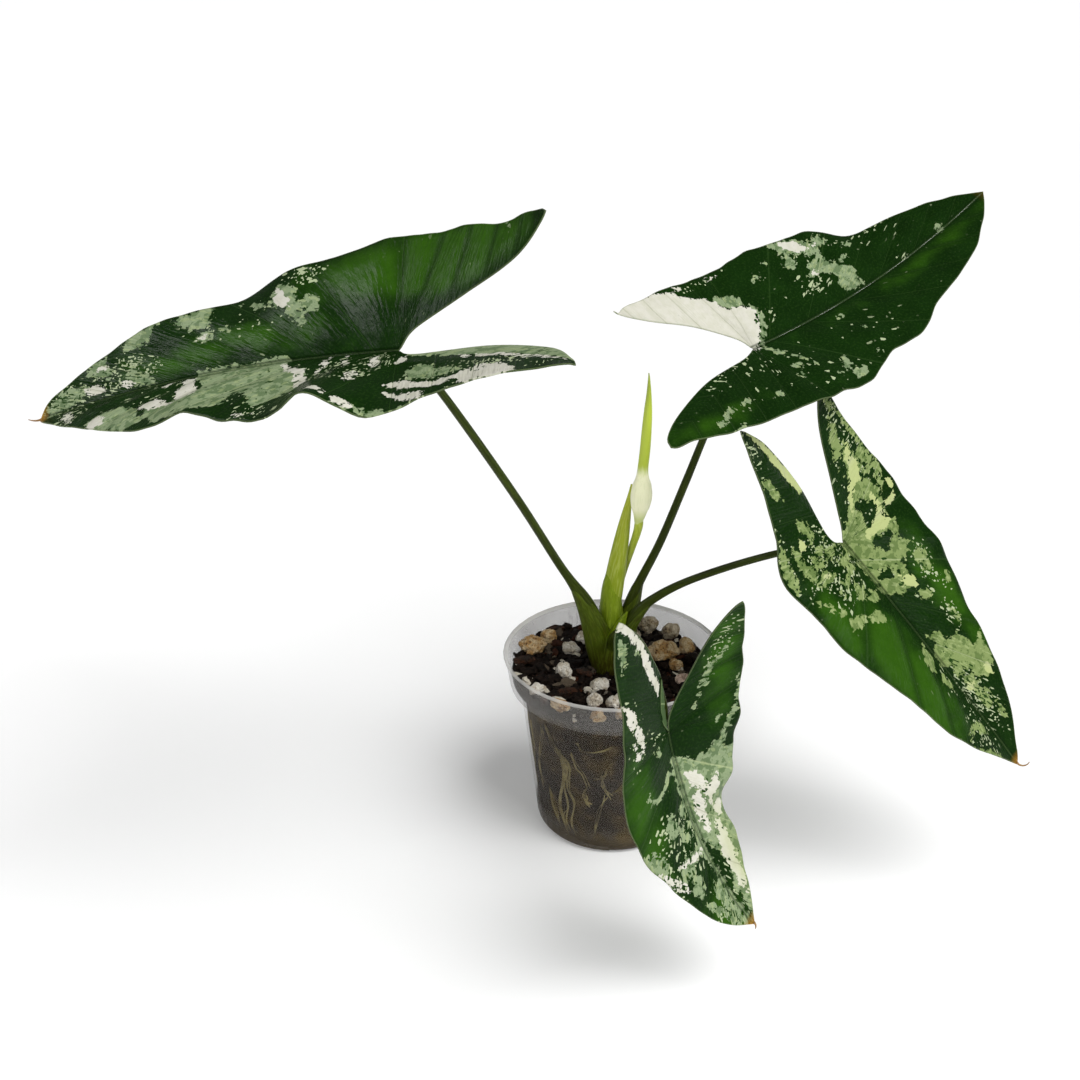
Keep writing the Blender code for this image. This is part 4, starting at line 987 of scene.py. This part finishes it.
def blade_axes(leaf):
    """Forward, left and up of the blade where the stalk meets it."""
    heading, rise, roll = (math.radians(leaf[key]) for key in ("heading", "rise", "roll"))
    forward = Vector((
        math.cos(rise) * math.cos(heading), math.cos(rise) * math.sin(heading), math.sin(rise)
    ))
    level = Vector((-math.sin(heading), math.cos(heading), 0.0))
    above = forward.cross(level)
    left = level * math.cos(roll) + above * math.sin(roll)
    return forward, left, -level * math.sin(roll) + above * math.cos(roll)


def blade_places(leaf, half, sign, flat):
    """Where flat points (along, aside, lift), in millimetres, lie on the folded blade."""
    along, aside, lift = flat.T
    share = along / leaf["length"]
    sums = np.zeros((len(flat), 3))
    for i in range(BEND_STEPS):
        pitch, turn = bend(leaf, half, share * (i + 0.5) / BEND_STEPS)
        sums[:, 0] += np.cos(pitch) * np.cos(turn)
        sums[:, 1] += np.cos(pitch) * np.sin(turn)
        sums[:, 2] += np.sin(pitch)
    centre = sums * (along / BEND_STEPS)[:, None]
    pitch, turn = bend(leaf, half, share)
    side = np.stack((-np.sin(turn), np.cos(turn), np.zeros_like(turn)), axis=1)
    up = np.stack(
        (-np.sin(pitch) * np.cos(turn), -np.sin(pitch) * np.sin(turn), np.cos(pitch)), axis=1
    )
    reach = np.abs(aside) / (HALF_WIDTH_SHARE * leaf["length"])
    fold = half["fold"] + leaf["tip_fold"] * np.clip(share, 0.0, 1.0)
    out = np.zeros(len(flat))
    rise = np.zeros(len(flat))
    for i in range(FOLD_STEPS):
        angle = np.radians(fold - half["camber"] * reach * (i + 0.5) / FOLD_STEPS)
        out += np.cos(angle) * np.abs(aside) / FOLD_STEPS
        rise += np.sin(angle) * np.abs(aside) / FOLD_STEPS
    last = np.radians(fold - half["camber"] * reach)
    out -= lift * np.sin(last)
    rise += lift * np.cos(last)
    local = centre + side * (sign * out)[:, None] + up * rise[:, None]
    axes = np.array([list(axis) for axis in blade_axes(leaf)])
    return (np.array(leaf["stalk"]) + local @ axes) * MM


def margin_curves(leaf, half):
    """Functions for the outer margin, the inner margin and the lobe's rib."""
    length = leaf["length"]
    lobe_tip = half["lobe_tip"]
    distances = [share * length for share in STATIONS]
    distances += [share * lobe_tip[0] for share in LOBE_STATIONS]
    stations = zip(distances, half["widths"], half["lifts"])
    outer_points = [(length, 0.0, 0.0), *stations, lobe_tip]
    chord = Vector(lobe_tip[:2])
    inward = Vector((chord.y, -chord.x)).normalized()
    if inward.y > 0:
        inward = -inward
    inner_points = [(0.0, 0.0, 0.0)]
    for share, bow in zip(INNER_STATIONS, half["inner"]):
        point = chord * share + inward * bow
        inner_points.append((point.x, point.y, lobe_tip[2] * share))
    inner_points.append(lobe_tip)
    inner_shares = (0.0, *INNER_STATIONS, 1.0)

    def outer(row):
        return along_points(outer_points, row)

    def inner(share):
        for i, (low, high) in enumerate(zip(inner_shares, inner_shares[1:])):
            if share <= high:
                return along_points(inner_points, i + (share - low) / (high - low))
        return inner_points[-1]

    def rib(row):
        share = (row - STALK_ROW) / (LAST_ROW - STALK_ROW)
        inside = inner(share)
        outside = outer(row)
        part = LOBE_RIB_SHARE * (1 - (1 - share) ** 2)
        return tuple(a + (b - a) * part for a, b in zip(inside, outside))

    return outer, inner, rib


def strip(bm, rows, columns, place):
    """A grid whose corners are placed by place(row, column)."""
    made = bmesh.ops.create_grid(
        bm, x_segments=len(rows) - 1, y_segments=len(columns) - 1, size=1.0
    )["verts"]
    for vert in made:
        row = round((vert.co.x + 1) / 2 * (len(rows) - 1))
        column = round((vert.co.y + 1) / 2 * (len(columns) - 1))
        vert.co = place(row, column)
    return made


def waved(point, row, seed):
    """A point of the margin, moved by the margin's own small waves."""
    along, aside, lift = point
    ends = math.sin(math.pi * row / LAST_ROW) ** 0.5 if 0 < row < LAST_ROW else 0.0
    place = along / MARGIN_WAVE_LENGTH
    aside += MARGIN_WAVE * ends * noise.noise(Vector((place, aside / 40.0, seed)))
    lift += MARGIN_WAVE * ends * noise.noise(Vector((place, 4.0, seed)))
    return (along, aside, lift)


def half_blade(bm, leaf, half):
    """Lays out one half flat: (along, aside, lift) in millimetres."""
    outer, inner, rib = margin_curves(leaf, half)
    rows = [i * ROW_STEP for i in range(round(LAST_ROW / ROW_STEP) + 1)]
    lobe_rows = [row for row in rows if row >= STALK_ROW - 1e-6]
    columns = [i / BLADE_COLUMNS for i in range(BLADE_COLUMNS + 1)]
    lobe_columns = [i / LOBE_COLUMNS for i in range(LOBE_COLUMNS + 1)]
    outsides = [waved(outer(row), row, leaf["length"]) for row in rows]
    insides = []
    for row, outside in zip(rows, outsides):
        lobe = row >= STALK_ROW - 1e-6
        insides.append(rib(row) if lobe else (max(outside[0], 0.0), 0.0, 0.0))
    ribs = [rib(row) for row in lobe_rows]
    inners = [inner((row - STALK_ROW) / (LAST_ROW - STALK_ROW)) for row in lobe_rows]

    def outer_place(row, column):
        share = columns[column]
        inside, outside = insides[row], outsides[row]
        flat = [a + (b - a) * share for a, b in zip(inside, outside)]
        flat[2] = inside[2] + (outside[2] - inside[2]) * share**2
        return flat

    def inner_place(row, column):
        return [a + (b - a) * lobe_columns[column] for a, b in zip(ribs[row], inners[row])]

    made = strip(bm, rows, columns, outer_place)
    made += strip(bm, lobe_rows, lobe_columns, inner_place)
    margin = [point[:2] for point in outsides] + [point[:2] for point in reversed(inners)]
    return made, margin, [point[:2] for point in ribs]


def line_distance(line, points):
    """How far each point is from an open line of points."""
    nearest = np.full(len(points), np.inf)
    for start, end in zip(line, line[1:]):
        start = np.array(start, float)
        edge = np.array(end, float) - start
        square = max(edge @ edge, 1e-9)
        share = np.clip((points - start) @ edge / square, 0.0, 1.0)
        gap = np.linalg.norm(points - start - share[:, None] * edge, axis=1)
        nearest = np.minimum(nearest, gap)
    return nearest


def patch_depth(patch, points):
    """How deep each point lies inside a patch, negative outside."""
    if isinstance(patch[0], tuple):
        inside = np.zeros(len(points), bool)
        for start, end in zip(patch, patch[1:] + patch[:1]):
            rise = end[1] - start[1] if end[1] != start[1] else 1.0
            level = (start[1] > points[:, 1]) != (end[1] > points[:, 1])
            crossing = start[0] + (end[0] - start[0]) * (points[:, 1] - start[1]) / rise
            inside ^= level & (points[:, 0] < crossing)
        gap = line_distance(patch + patch[:1], points)
        return np.where(inside, gap, -gap)
    along, aside, length, width, turn = patch
    angle = math.radians(turn)
    x = points[:, 0] - along
    y = points[:, 1] - aside
    run = x * math.cos(angle) + y * math.sin(angle)
    off = y * math.cos(angle) - x * math.sin(angle)
    ratio = np.hypot(run / (length / 2), off / (width / 2))
    return (1.0 - ratio) * min(length, width) / 2


def pattern_fields(name, points):
    """The patches of a blade as depths at its points, and how thick the flecks lie."""
    marks = PATTERN[name]

    def deepest(patches):
        depth = np.full(len(points), -PATTERN_REACH)
        for patch in patches:
            depth = np.maximum(depth, patch_depth(patch, points))
        return np.clip(depth, -PATTERN_REACH, PATTERN_REACH)

    deep = deepest(marks["deep"])
    flecks = np.zeros(len(points))
    for *oval, thick in marks["flecks"]:
        depth = patch_depth(tuple(oval), points)
        flecks = np.maximum(flecks, thick * np.clip(0.5 + depth / 6.0, 0.0, 1.0))
    return {
        "sage": np.minimum(deepest(marks["sage"]), -deep),
        "cream": np.minimum(deepest(marks["cream"]), -deep),
        "flecks": flecks,
        "glow": np.clip(0.5 + deepest(marks["glow"]) / 12.0, 0.0, 1.0),
        "warm": np.clip(0.5 + deepest(marks["warm"]) / 12.0, 0.0, 1.0),
    }


def vein_course(leaf, rib_line, along, aside):
    """A count that is whole on every side vein, and how far out along its vein a point lies."""
    start = along.copy()
    for _ in range(16):
        angle = VEIN_ANGLE_TIP + VEIN_ANGLE_FALL * np.exp(-np.maximum(start, 0.0) / VEIN_ANGLE_REACH)
        start = 0.5 * start + 0.5 * (along - aside / np.tan(np.radians(angle)))
    front = 1.0 + (start - FIRST_VEIN) / VEIN_SPACING
    polar = np.degrees(np.arctan2(aside, along))
    first_angle = VEIN_ANGLE_TIP + VEIN_ANGLE_FALL
    first_count = 1.0 - FIRST_VEIN / VEIN_SPACING
    near = first_count * (BASE_VEIN_ANGLE - polar) / (BASE_VEIN_ANGLE - first_angle)
    rib_end = rib_line[-1]
    rib_angle = math.degrees(math.atan2(rib_end[1], rib_end[0]))
    fan_end = rib_angle - LOBE_VEIN_ANGLE
    behind = -(polar - BASE_VEIN_ANGLE) / (fan_end - BASE_VEIN_ANGLE)
    run = along * math.cos(math.radians(rib_angle)) + aside * math.sin(math.radians(rib_angle))
    off = along * math.sin(math.radians(rib_angle)) - aside * math.cos(math.radians(rib_angle))
    lobe = run - np.abs(off) / math.tan(math.radians(LOBE_VEIN_ANGLE))
    lobe_count = -1.0 - lobe / LOBE_VEIN_SPACING
    count = np.where(polar < first_angle, front, near)
    count = np.where(polar > BASE_VEIN_ANGLE, behind, count)
    count = np.where(polar > fan_end, lobe_count, count)
    reach = np.hypot(along - np.maximum(start, 0.0) * (polar < first_angle), aside)
    return count, reach


def make_blade(name, upper, under):
    """One arrow-shaped blade with its pattern, veins and a thin skin below."""
    leaf = LEAVES[name]
    bm = bmesh.new()
    layers = {
        key: bm.verts.layers.float.new(key)
        for key in ("sage", "cream", "flecks", "glow", "warm", "course", "rib", "rim", "dry")
    }
    flat_layer = bm.verts.layers.float_vector.new("flat")
    flow_layer = bm.verts.layers.float_vector.new("flow")
    for side, sign in (("left", 1), ("right", -1)):
        half = leaf[side]
        verts, margin, rib_line = half_blade(bm, leaf, half)
        flat = np.array([list(vert.co) for vert in verts])
        spots = flat[:, :2] * (1.0, sign)
        fields = pattern_fields(name, spots)
        count, reach = vein_course(leaf, rib_line, flat[:, 0], flat[:, 1])
        fields["course"] = count
        fields["rib"] = np.where(flat[:, 0] > 0, flat[:, 1], np.hypot(flat[:, 0], flat[:, 1]))
        fields["rim"] = line_distance(margin, flat[:, :2])
        dryness = 1.0 if name in DRIP_POINTS else 0.15
        fields["dry"] = dryness * np.clip((flat[:, 0] - leaf["length"] + 5.0) / 4.0, 0.0, 1.0)
        rib_gap = np.minimum(fields["rib"], line_distance(rib_line, flat[:, :2]))
        swell = 1.0 - np.abs(np.cos(math.pi * count)) ** 3
        swell = swell * np.clip(fields["rim"] / 9.0, 0.0, 1.0) * np.clip(rib_gap / 7.0, 0.0, 1.0)
        lift = QUILT_LIFT * np.clip(0.8 + flat[:, 0] / 60.0, LOBE_QUILT_SHARE, 1.0)
        flat[:, 2] += lift * (swell - 0.3)
        places = blade_places(leaf, half, sign, flat)
        for i, vert in enumerate(verts):
            for key, layer in layers.items():
                vert[layer] = fields[key][i]
            vert[flat_layer] = (spots[i][0], spots[i][1], 0.0)
            vert[flow_layer] = (count[i] * VEIN_SPACING, reach[i] * 0.55, 3.0 * sign)
            vert.co = places[i]
    bmesh.ops.remove_doubles(bm, verts=bm.verts, dist=0.03 * MM)
    bmesh.ops.dissolve_degenerate(bm, edges=bm.edges, dist=0.005 * MM)
    bmesh.ops.recalc_face_normals(bm, faces=bm.faces)
    up = blade_axes(leaf)[2]
    if sum((face.normal * face.calc_area() for face in bm.faces), Vector()).dot(up) < 0:
        bmesh.ops.reverse_faces(bm, faces=bm.faces)
    blade = shown(f"blade_{name}", bm, (upper, under), "leaf", (f"leaf_{name}",))
    skin = blade.modifiers.new("skin", "SOLIDIFY")
    skin.thickness = BLADE_SKIN * MM
    skin.offset = -1.0
    skin.material_offset = 1
    skin.material_offset_rim = 0
    return blade


def make_drip_points():
    """The thin dried points at the ends of three blades."""
    dried = stalk_finish(
        "dried_point", tone(150, 112, 66), tone(132, 98, 60), 40, 250, tone(186, 160, 120)
    )
    for name, (length, curl) in DRIP_POINTS.items():
        leaf = LEAVES[name]
        end = leaf["length"]
        flat = np.array([(end - 3.0, 0.0, 0.0), (end, 0.0, 0.0)])
        before, tip = (Vector(place) / MM for place in blade_places(leaf, leaf["left"], 1, flat))
        way = (tip - before).normalized()
        axle = Vector((-way.y, way.x, 0.0)).normalized()
        here = tip - way * 1.0
        route = []
        for step in range(DRIP_STEPS):
            share = step / (DRIP_STEPS - 1)
            route.append((*here, DRIP_RADIUS * (1.0 - 0.7 * share)))
            here = here + way * (length + 1.0) / (DRIP_STEPS - 1)
            way = Matrix.Rotation(-math.radians(curl), 3, axle) @ way
        bm = tube(bmesh.new(), spline(route, 3), 10)
        shown(f"drip_point_{name}", tidy(bm), (dried,), "leaf")


def make_stalks():
    """The petioles, the young leaf's sheath and the flower."""
    petiole = stalk_finish(
        "petiole_skin", tone(48, 58, 8), tone(40, 50, 6), 110, 170, tone(66, 80, 18)
    )
    sheath = stalk_finish(
        "sheath_skin", tone(126, 148, 22), tone(174, 185, 60), 105, 165, tone(192, 202, 100)
    )
    flower_stalk = stalk_finish(
        "flower_stalk_skin", tone(122, 140, 26), tone(184, 200, 70), 115, 158, tone(200, 210, 108)
    )
    for name, route in PETIOLE_ROUTES.items():
        bm = tube(bmesh.new(), spline(route, 8), 20)
        shown(f"stalk_{name}", tidy(bm), (petiole,), "stalk", (f"petiole_{name}",))
    bm = tube(bmesh.new(), spline(SHEATH_ROUTE, 8), 32, sheath_shape)
    shown("young_leaf_sheath", tidy(bm), (sheath,), "young_sheath", ("young_sheath",))
    bm = tube(bmesh.new(), spline(PEDUNCLE_ROUTE, 8), 18)
    shown("flower_stalk", tidy(bm), (flower_stalk,), "peduncle", ("peduncle",))
    bm = tube(bmesh.new(), spline(SPATHE_ROUTE, 8), 36, hood_shape)
    shown("flower_hood", tidy(bm), (spathe_finish("hood_skin"),), "spathe", ("spathe",))


def sheath_shape(share, angle):
    """The rolled sheath: one edge laps over the other."""
    lap = 0.10 * max(0.0, math.cos(angle - 0.5)) ** 6
    return 1.0 + lap + 0.03 * math.cos(5 * angle)


def hood_shape(share, angle):
    """The furled hood: a lapped edge that winds up it."""
    lap = (angle / math.tau + 0.25 * share) % 1.0
    return 0.97 + 0.10 * lap**3


def crown_shape(share, angle):
    """Old leaf scars and sheath edges side by side round the crown."""
    return 1.0 + 0.03 * math.cos(5 * angle + 2.0) + 0.015 * math.cos(13 * angle)


def base_shape(share, angle):
    """A sheath's base: an edge stands out along one side of it."""
    flange = 0.28 * math.exp(-(((angle - 1.35) / 0.22) ** 2)) * math.sin(math.pi * min(1.0, share * 1.1))
    return 1.0 + flange + 0.03 * math.cos(4 * angle)


def bract_shape(share, angle):
    """A flat pointed scale that hugs the crown."""
    return 0.45 + 0.55 * abs(math.sin(angle)) ** 0.7


def make_crown():
    """The short stem, with the sheath bases of its leaves round it."""
    skin = stalk_finish(
        "crown_skin", tone(54, 46, 12), tone(64, 78, 12), 80, 104, tone(90, 106, 28)
    )
    bright = stalk_finish(
        "old_sheath_skin", tone(78, 98, 6), tone(124, 146, 26), 98, 124, tone(146, 166, 48)
    )
    bm = tube(bmesh.new(), spline(CROWN_ROUTE, 5), 48, crown_shape)
    shown("crown", tidy(bm), (skin,), "stem", ("stem",))
    for name, route in SHEATH_BASES.items():
        bm = tube(bmesh.new(), spline(route, 6), 36, base_shape)
        shown(f"sheath_base_{name}", tidy(bm), (skin,), "stem")
    bm = tube(bmesh.new(), spline(OLD_SHEATH_ROUTE, 6), 36, sheath_shape)
    shown("old_sheath", tidy(bm), (bright,), "stem")
    bm = tube(bmesh.new(), spline(BRACT_ROUTE, 6), 24, bract_shape)
    shown("bract", tidy(bm), (bright,), "stem")


def turned(profile, steps):
    """A body from a half profile of (radius, height) points, in millimetres."""
    bm = bmesh.new()
    verts = [bm.verts.new((radius * MM, 0.0, height * MM)) for radius, height in profile]
    edges = [bm.edges.new(pair) for pair in zip(verts, verts[1:])]
    bmesh.ops.spin(
        bm, geom=verts + edges, cent=(0, 0, 0), axis=(0, 0, 1), angle=math.tau, steps=steps,
        use_merge=True,
    )
    bmesh.ops.remove_doubles(bm, verts=bm.verts, dist=1e-6)
    bmesh.ops.recalc_face_normals(bm, faces=bm.faces)
    return bm


def pot_inside(grow=0.0):
    """The inner profile from the lip down to the centre of the floor, set in by grow."""
    inset = POT_WALL + grow
    return [
        (RIM_RADIUS - LIP, POT_HEIGHT),
        (COLLAR_TOP_RADIUS - inset, POT_HEIGHT - 1.5 * LIP),
        (COLLAR_FOOT_RADIUS - inset, COLLAR_FOOT_HEIGHT + inset),
        (WALL_TOP_RADIUS - inset, WALL_TOP_HEIGHT + inset),
        (WALL_FOOT_RADIUS - inset, BASE_CORNER + POT_WALL),
        (WALL_FOOT_RADIUS - inset - 0.7 * BASE_CORNER, inset),
        (0.0, inset),
    ]


def inner_radius(height, grow=0.0):
    """How far the pot's inside reaches at a height, less grow."""
    profile = pot_inside(grow)[::-1]
    for (r0, z0), (r1, z1) in zip(profile, profile[1:]):
        if z0 <= height <= z1 and z1 > z0:
            return r0 + (r1 - r0) * (height - z0) / (z1 - z0)
    return profile[-1][0]


def soil_top(x, y):
    """Height of the soil's surface."""
    grain = noise.noise(Vector((x, y, 0.0)) / SOIL_GRAIN)
    fine_grain = noise.noise(Vector((x, y, 0.02 / MM)) / (SOIL_GRAIN / 2.2))
    return SOIL_HEIGHT - SOIL_RISE_TO_FRONT * y + SOIL_RELIEF * (grain + 0.6 * fine_grain)


def make_soil(skin):
    """The soil's bed and the bark and crumbs that lie on it."""
    edge = inner_radius(SOIL_HEIGHT, 0.3)
    profile = [(0.0, SOIL_HEIGHT)]
    profile += [(edge * ring / SOIL_RINGS, SOIL_HEIGHT) for ring in range(1, SOIL_RINGS + 1)]
    bm = turned(profile + pot_inside(0.3)[2:], SOIL_STEPS)
    bm.verts.layers.float.new("tint")
    for vert in bm.verts:
        if vert.co.z > SOIL_HEIGHT * MM - 1e-6:
            x, y = vert.co.x / MM, vert.co.y / MM
            rough = 0.9 * noise.noise(Vector((x, y, 5.0)) / 2.2)
            height = soil_top(x, y) - 1.3 + rough
            reach = math.hypot(x, y)
            if reach > edge - 1e-3:
                scale = inner_radius(height, 0.3) / reach
                vert.co.x *= scale
                vert.co.y *= scale
            vert.co.z = height * MM
    shown("soil_bed", tidy(bm), (skin,), "soil", ("soil",))

    draw = random.Random(LITTER_SEED)
    bm = bmesh.new()
    bm.verts.layers.float.new("tint")
    for i in range(LITTER_COUNT + CRUMB_COUNT):
        chip = i < LITTER_COUNT
        reach = (edge - 2.0) * math.sqrt(draw.random())
        angle = draw.uniform(0.0, math.tau)
        x, y = reach * math.cos(angle), reach * math.sin(angle)
        if math.hypot(x + 3.0, y) < 7.0:
            continue
        long = draw.uniform(2.6, 7.0) if chip else draw.uniform(0.8, 2.2)
        sizes = (long, long * draw.uniform(0.4, 0.8), long * draw.uniform(0.3, 0.65))
        part = bmesh.new()
        part_tint = part.verts.layers.float.new("tint")
        bmesh.ops.create_icosphere(part, subdivisions=2 if chip else 1, radius=0.5)
        seed = Vector((i * 1.3, i * 0.7, 0.0))
        shade = draw.uniform(0.01, 1.0)
        turn = Matrix.Rotation(draw.uniform(0, math.tau), 3, "Z")
        lean = Matrix.Rotation(draw.uniform(-0.9, 0.9), 3, "X")
        sink = sizes[2] * draw.uniform(-0.1, 0.45)
        place = Vector((x, y, soil_top(x, y) - 0.5 + sink))
        for vert in part.verts:
            blocky = 0.5 / max(abs(axis) for axis in vert.co)
            swell = blocky**0.6 * (1.0 + 0.6 * noise.noise(vert.co * 2.6 + seed))
            size = Vector(side * axis * swell for side, axis in zip(vert.co, sizes))
            vert.co = (place + turn @ (lean @ size)) * MM
            vert[part_tint] = shade
        gather(bm, part)
    shown("soil_litter", tidy(bm), (skin,), "soil", smooth=False)


def make_stones():
    """Pumice and bark that lie on the soil."""
    finishes = {
        "pumice_tan": stone_finish(
            "tan_pumice", tone(214, 190, 150), tone(176, 136, 84), tone(120, 78, 36)
        ),
        "pumice_grey": stone_finish(
            "grey_pumice", tone(206, 192, 168), tone(164, 144, 114), tone(104, 86, 64)
        ),
        "pumice_white": stone_finish(
            "white_pumice", tone(230, 224, 212), tone(196, 184, 164), tone(160, 142, 116)
        ),
        "pumice_pink": stone_finish(
            "pink_pumice", tone(206, 182, 166), tone(172, 146, 128), tone(140, 110, 90)
        ),
        "bark": stone_finish("bark_chip", tone(30, 20, 14), tone(62, 36, 22), tone(20, 14, 10)),
    }
    pressed = []
    for kind, heading, height, size in WALL_STONES:
        angle = math.radians(heading)
        reach = inner_radius(height) - size[0] / 2
        place = (reach * math.cos(angle), reach * math.sin(angle), height)
        pressed.append((f"{kind}_wall_{len(pressed)}", place, size, heading))
    for i, (name, place, size, turn) in enumerate(STONES + BARK + tuple(pressed)):
        kind = "bark" if name.startswith("bark") else "_".join(name.split("_")[:2])
        replaced = () if "wall" in name else (name,)
        bm = bmesh.new()
        bmesh.ops.create_icosphere(bm, subdivisions=5, radius=1.0)
        offset = Vector((i * 3.1, i * 1.7, STONE_SEED))
        lumps = CLUSTER_LUMPS if max(size) > CLUSTER_SIZE else STONE_LUMPS
        for vert in bm.verts:
            direction = vert.co.normalized()
            nearest = noise.voronoi(direction * lumps + offset)[0][0]
            swell = 1.12 + STONE_ROUGHNESS * noise.noise(direction * 1.3 + offset)
            swell -= STONE_CREASE * nearest**1.5
            swell += 0.05 * noise.noise(direction * 7.0 + offset)
            swell += 0.025 * noise.noise(direction * 19.0 + offset)
            vert.co = Vector([d * s * MM / 2 * swell for d, s in zip(direction, size)])
        matrix = Matrix.Translation(Vector(place) * MM) @ Matrix.Rotation(math.radians(turn), 4, "Z")
        bmesh.ops.transform(bm, matrix=matrix, verts=bm.verts)
        for vert in bm.verts:
            limit = (inner_radius(vert.co.z / MM) - WALL_STONE_GAP) * MM
            reach = math.hypot(vert.co.x, vert.co.y)
            if reach > limit:
                vert.co.x *= limit / reach
                vert.co.y *= limit / reach
        shown(f"rough_{name}", tidy(bm), (finishes[kind],), kind, replaced)


def make_roots():
    """Roots that run down behind the pot's wall, and the rhizome they leave."""
    draw = random.Random(ROOT_SEED)
    bm = bmesh.new()
    bm.verts.layers.float_vector.new("grain")
    for thick, trace in ROOT_TRACES:
        for strand in range(TRACE_STRANDS):
            route = []
            for heading, height in trace:
                angle = math.radians(heading + draw.uniform(-TRACE_DRIFT, TRACE_DRIFT) * strand)
                rise = height + draw.uniform(-TRACE_DRIFT, TRACE_DRIFT) * strand
                radius = thick * draw.uniform(0.2, 0.5)
                reach = inner_radius(max(rise, 5.0)) - radius * 0.75
                route.append((reach * math.cos(angle), reach * math.sin(angle), rise, radius))
            gather(bm, tube(bmesh.new(), spline(route, 6), 8))
    for i in range(ROOT_STRANDS):
        heading = draw.uniform(math.radians(-70.0), math.radians(205.0))
        top = draw.uniform(45.0, 74.0)
        foot = draw.uniform(5.0, 30.0)
        thick = draw.uniform(0.22, 0.62)
        drift = draw.uniform(-0.35, 0.35)
        swing = draw.uniform(0.02, 0.10)
        wave = draw.uniform(3.0, 9.0)
        route = []
        for j in range(ROOT_POINTS):
            share = j / (ROOT_POINTS - 1)
            height = top + (foot - top) * share
            angle = heading + drift * share + swing * math.sin(wave * share + i)
            reach = inner_radius(height) - thick * 0.75
            radius = thick * (1 - 0.5 * share)
            route.append((reach * math.cos(angle), reach * math.sin(angle), height, radius))
        gather(bm, tube(bmesh.new(), spline(route, 3), 6))
    rhizome = ((-3.4, 0.0, 59.0, 3.2), (-3.4, 0.0, 63.0, 5.0), (-3.4, 0.0, 73.0, 5.8))
    gather(bm, tube(bmesh.new(), rhizome, 24))
    shown("root_strands", tidy(bm), (root_finish("root_skin"),), "root", ("roots",))


def make_studio():
    """The camera, the floor and the lights."""
    camera = bpy.data.cameras.new("camera")
    camera.sensor_width = SENSOR
    camera.lens = FOCAL_PIXELS / PICTURE_PIXELS * SENSOR
    camera.clip_start = 0.01
    view = bpy.data.objects.new("camera", camera)
    view.location = Vector(CAMERA_PLACE) * MM
    view.rotation_euler = (math.radians(90.0 - CAMERA_PITCH), 0.0, 0.0)
    bpy.context.scene.collection.objects.link(view)
    bpy.context.scene.camera = view

    mesh = bpy.data.meshes.new("floor")
    bm = bmesh.new()
    bmesh.ops.create_grid(bm, x_segments=2, y_segments=2, size=FLOOR_SIZE / 2)
    bm.to_mesh(mesh)
    bm.free()
    mesh.materials.append(paper_finish("floor_paper"))
    floor = bpy.data.objects.new("floor", mesh)
    bpy.context.scene.collection.objects.link(floor)

    sun = bpy.data.lights.new("sun", "SUN")
    sun.energy = SUN_STRENGTH
    sun.angle = math.radians(SUN_SPREAD)
    hang(sun, SUN_FROM, (0.0, 0.0, 0.0)).visible_glossy = False
    fill = softbox("fill", FILL_SIZE, FILL_POWER)
    hang(fill, FILL_PLACE, (0.0, 0.0, 0.15)).visible_glossy = False
    left_gloss = softbox("left_gloss", LEFT_GLOSS_SIZE, LEFT_GLOSS_POWER)
    hang(left_gloss, LEFT_GLOSS_PLACE, (-0.1, -0.05, 0.25)).visible_diffuse = False
    right_gloss = softbox("right_gloss", RIGHT_GLOSS_SIZE, RIGHT_GLOSS_POWER)
    hang(right_gloss, RIGHT_GLOSS_PLACE, (0.1, -0.05, 0.12)).visible_diffuse = False

    world = bpy.data.worlds.new("studio")
    world.use_nodes = True
    background = world.node_tree.nodes["Background"]
    background.inputs["Color"].default_value = (1.0, 1.0, 1.0, 1.0)
    background.inputs["Strength"].default_value = SKY_STRENGTH
    bpy.context.scene.world = world
    bpy.context.scene.view_settings.view_transform = "Standard"


def softbox(name, size, power):
    lamp = bpy.data.lights.new(name, "AREA")
    lamp.shape = "DISK"
    lamp.size = size
    lamp.energy = power
    return lamp


def hang(lamp, place, target):
    """Hangs a lamp at a place so that it shines on the target."""
    light = bpy.data.objects.new(lamp.name, lamp)
    light.location = place
    light.rotation_euler = (Vector(target) - Vector(place)).to_track_quat("-Z", "Y").to_euler()
    bpy.context.scene.collection.objects.link(light)
    return light


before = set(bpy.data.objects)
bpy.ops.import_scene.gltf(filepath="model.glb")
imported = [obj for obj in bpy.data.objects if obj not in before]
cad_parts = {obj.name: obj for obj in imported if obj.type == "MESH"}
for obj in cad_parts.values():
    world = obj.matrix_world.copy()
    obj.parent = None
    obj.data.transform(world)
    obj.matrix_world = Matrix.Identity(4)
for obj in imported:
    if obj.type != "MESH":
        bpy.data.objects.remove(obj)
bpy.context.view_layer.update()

make_studio()
upper_face = blade_finish("blade_upper", True)
under_face = blade_finish("blade_under", False)
for blade_name in LEAVES:
    make_blade(blade_name, upper_face, under_face)
make_drip_points()
make_stalks()
make_crown()
make_stones()
make_soil(soil_finish("soil_mix"))
make_roots()
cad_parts["pot"].data.materials.clear()
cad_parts["pot"].data.materials.append(pot_finish("clear_plastic_wall"))
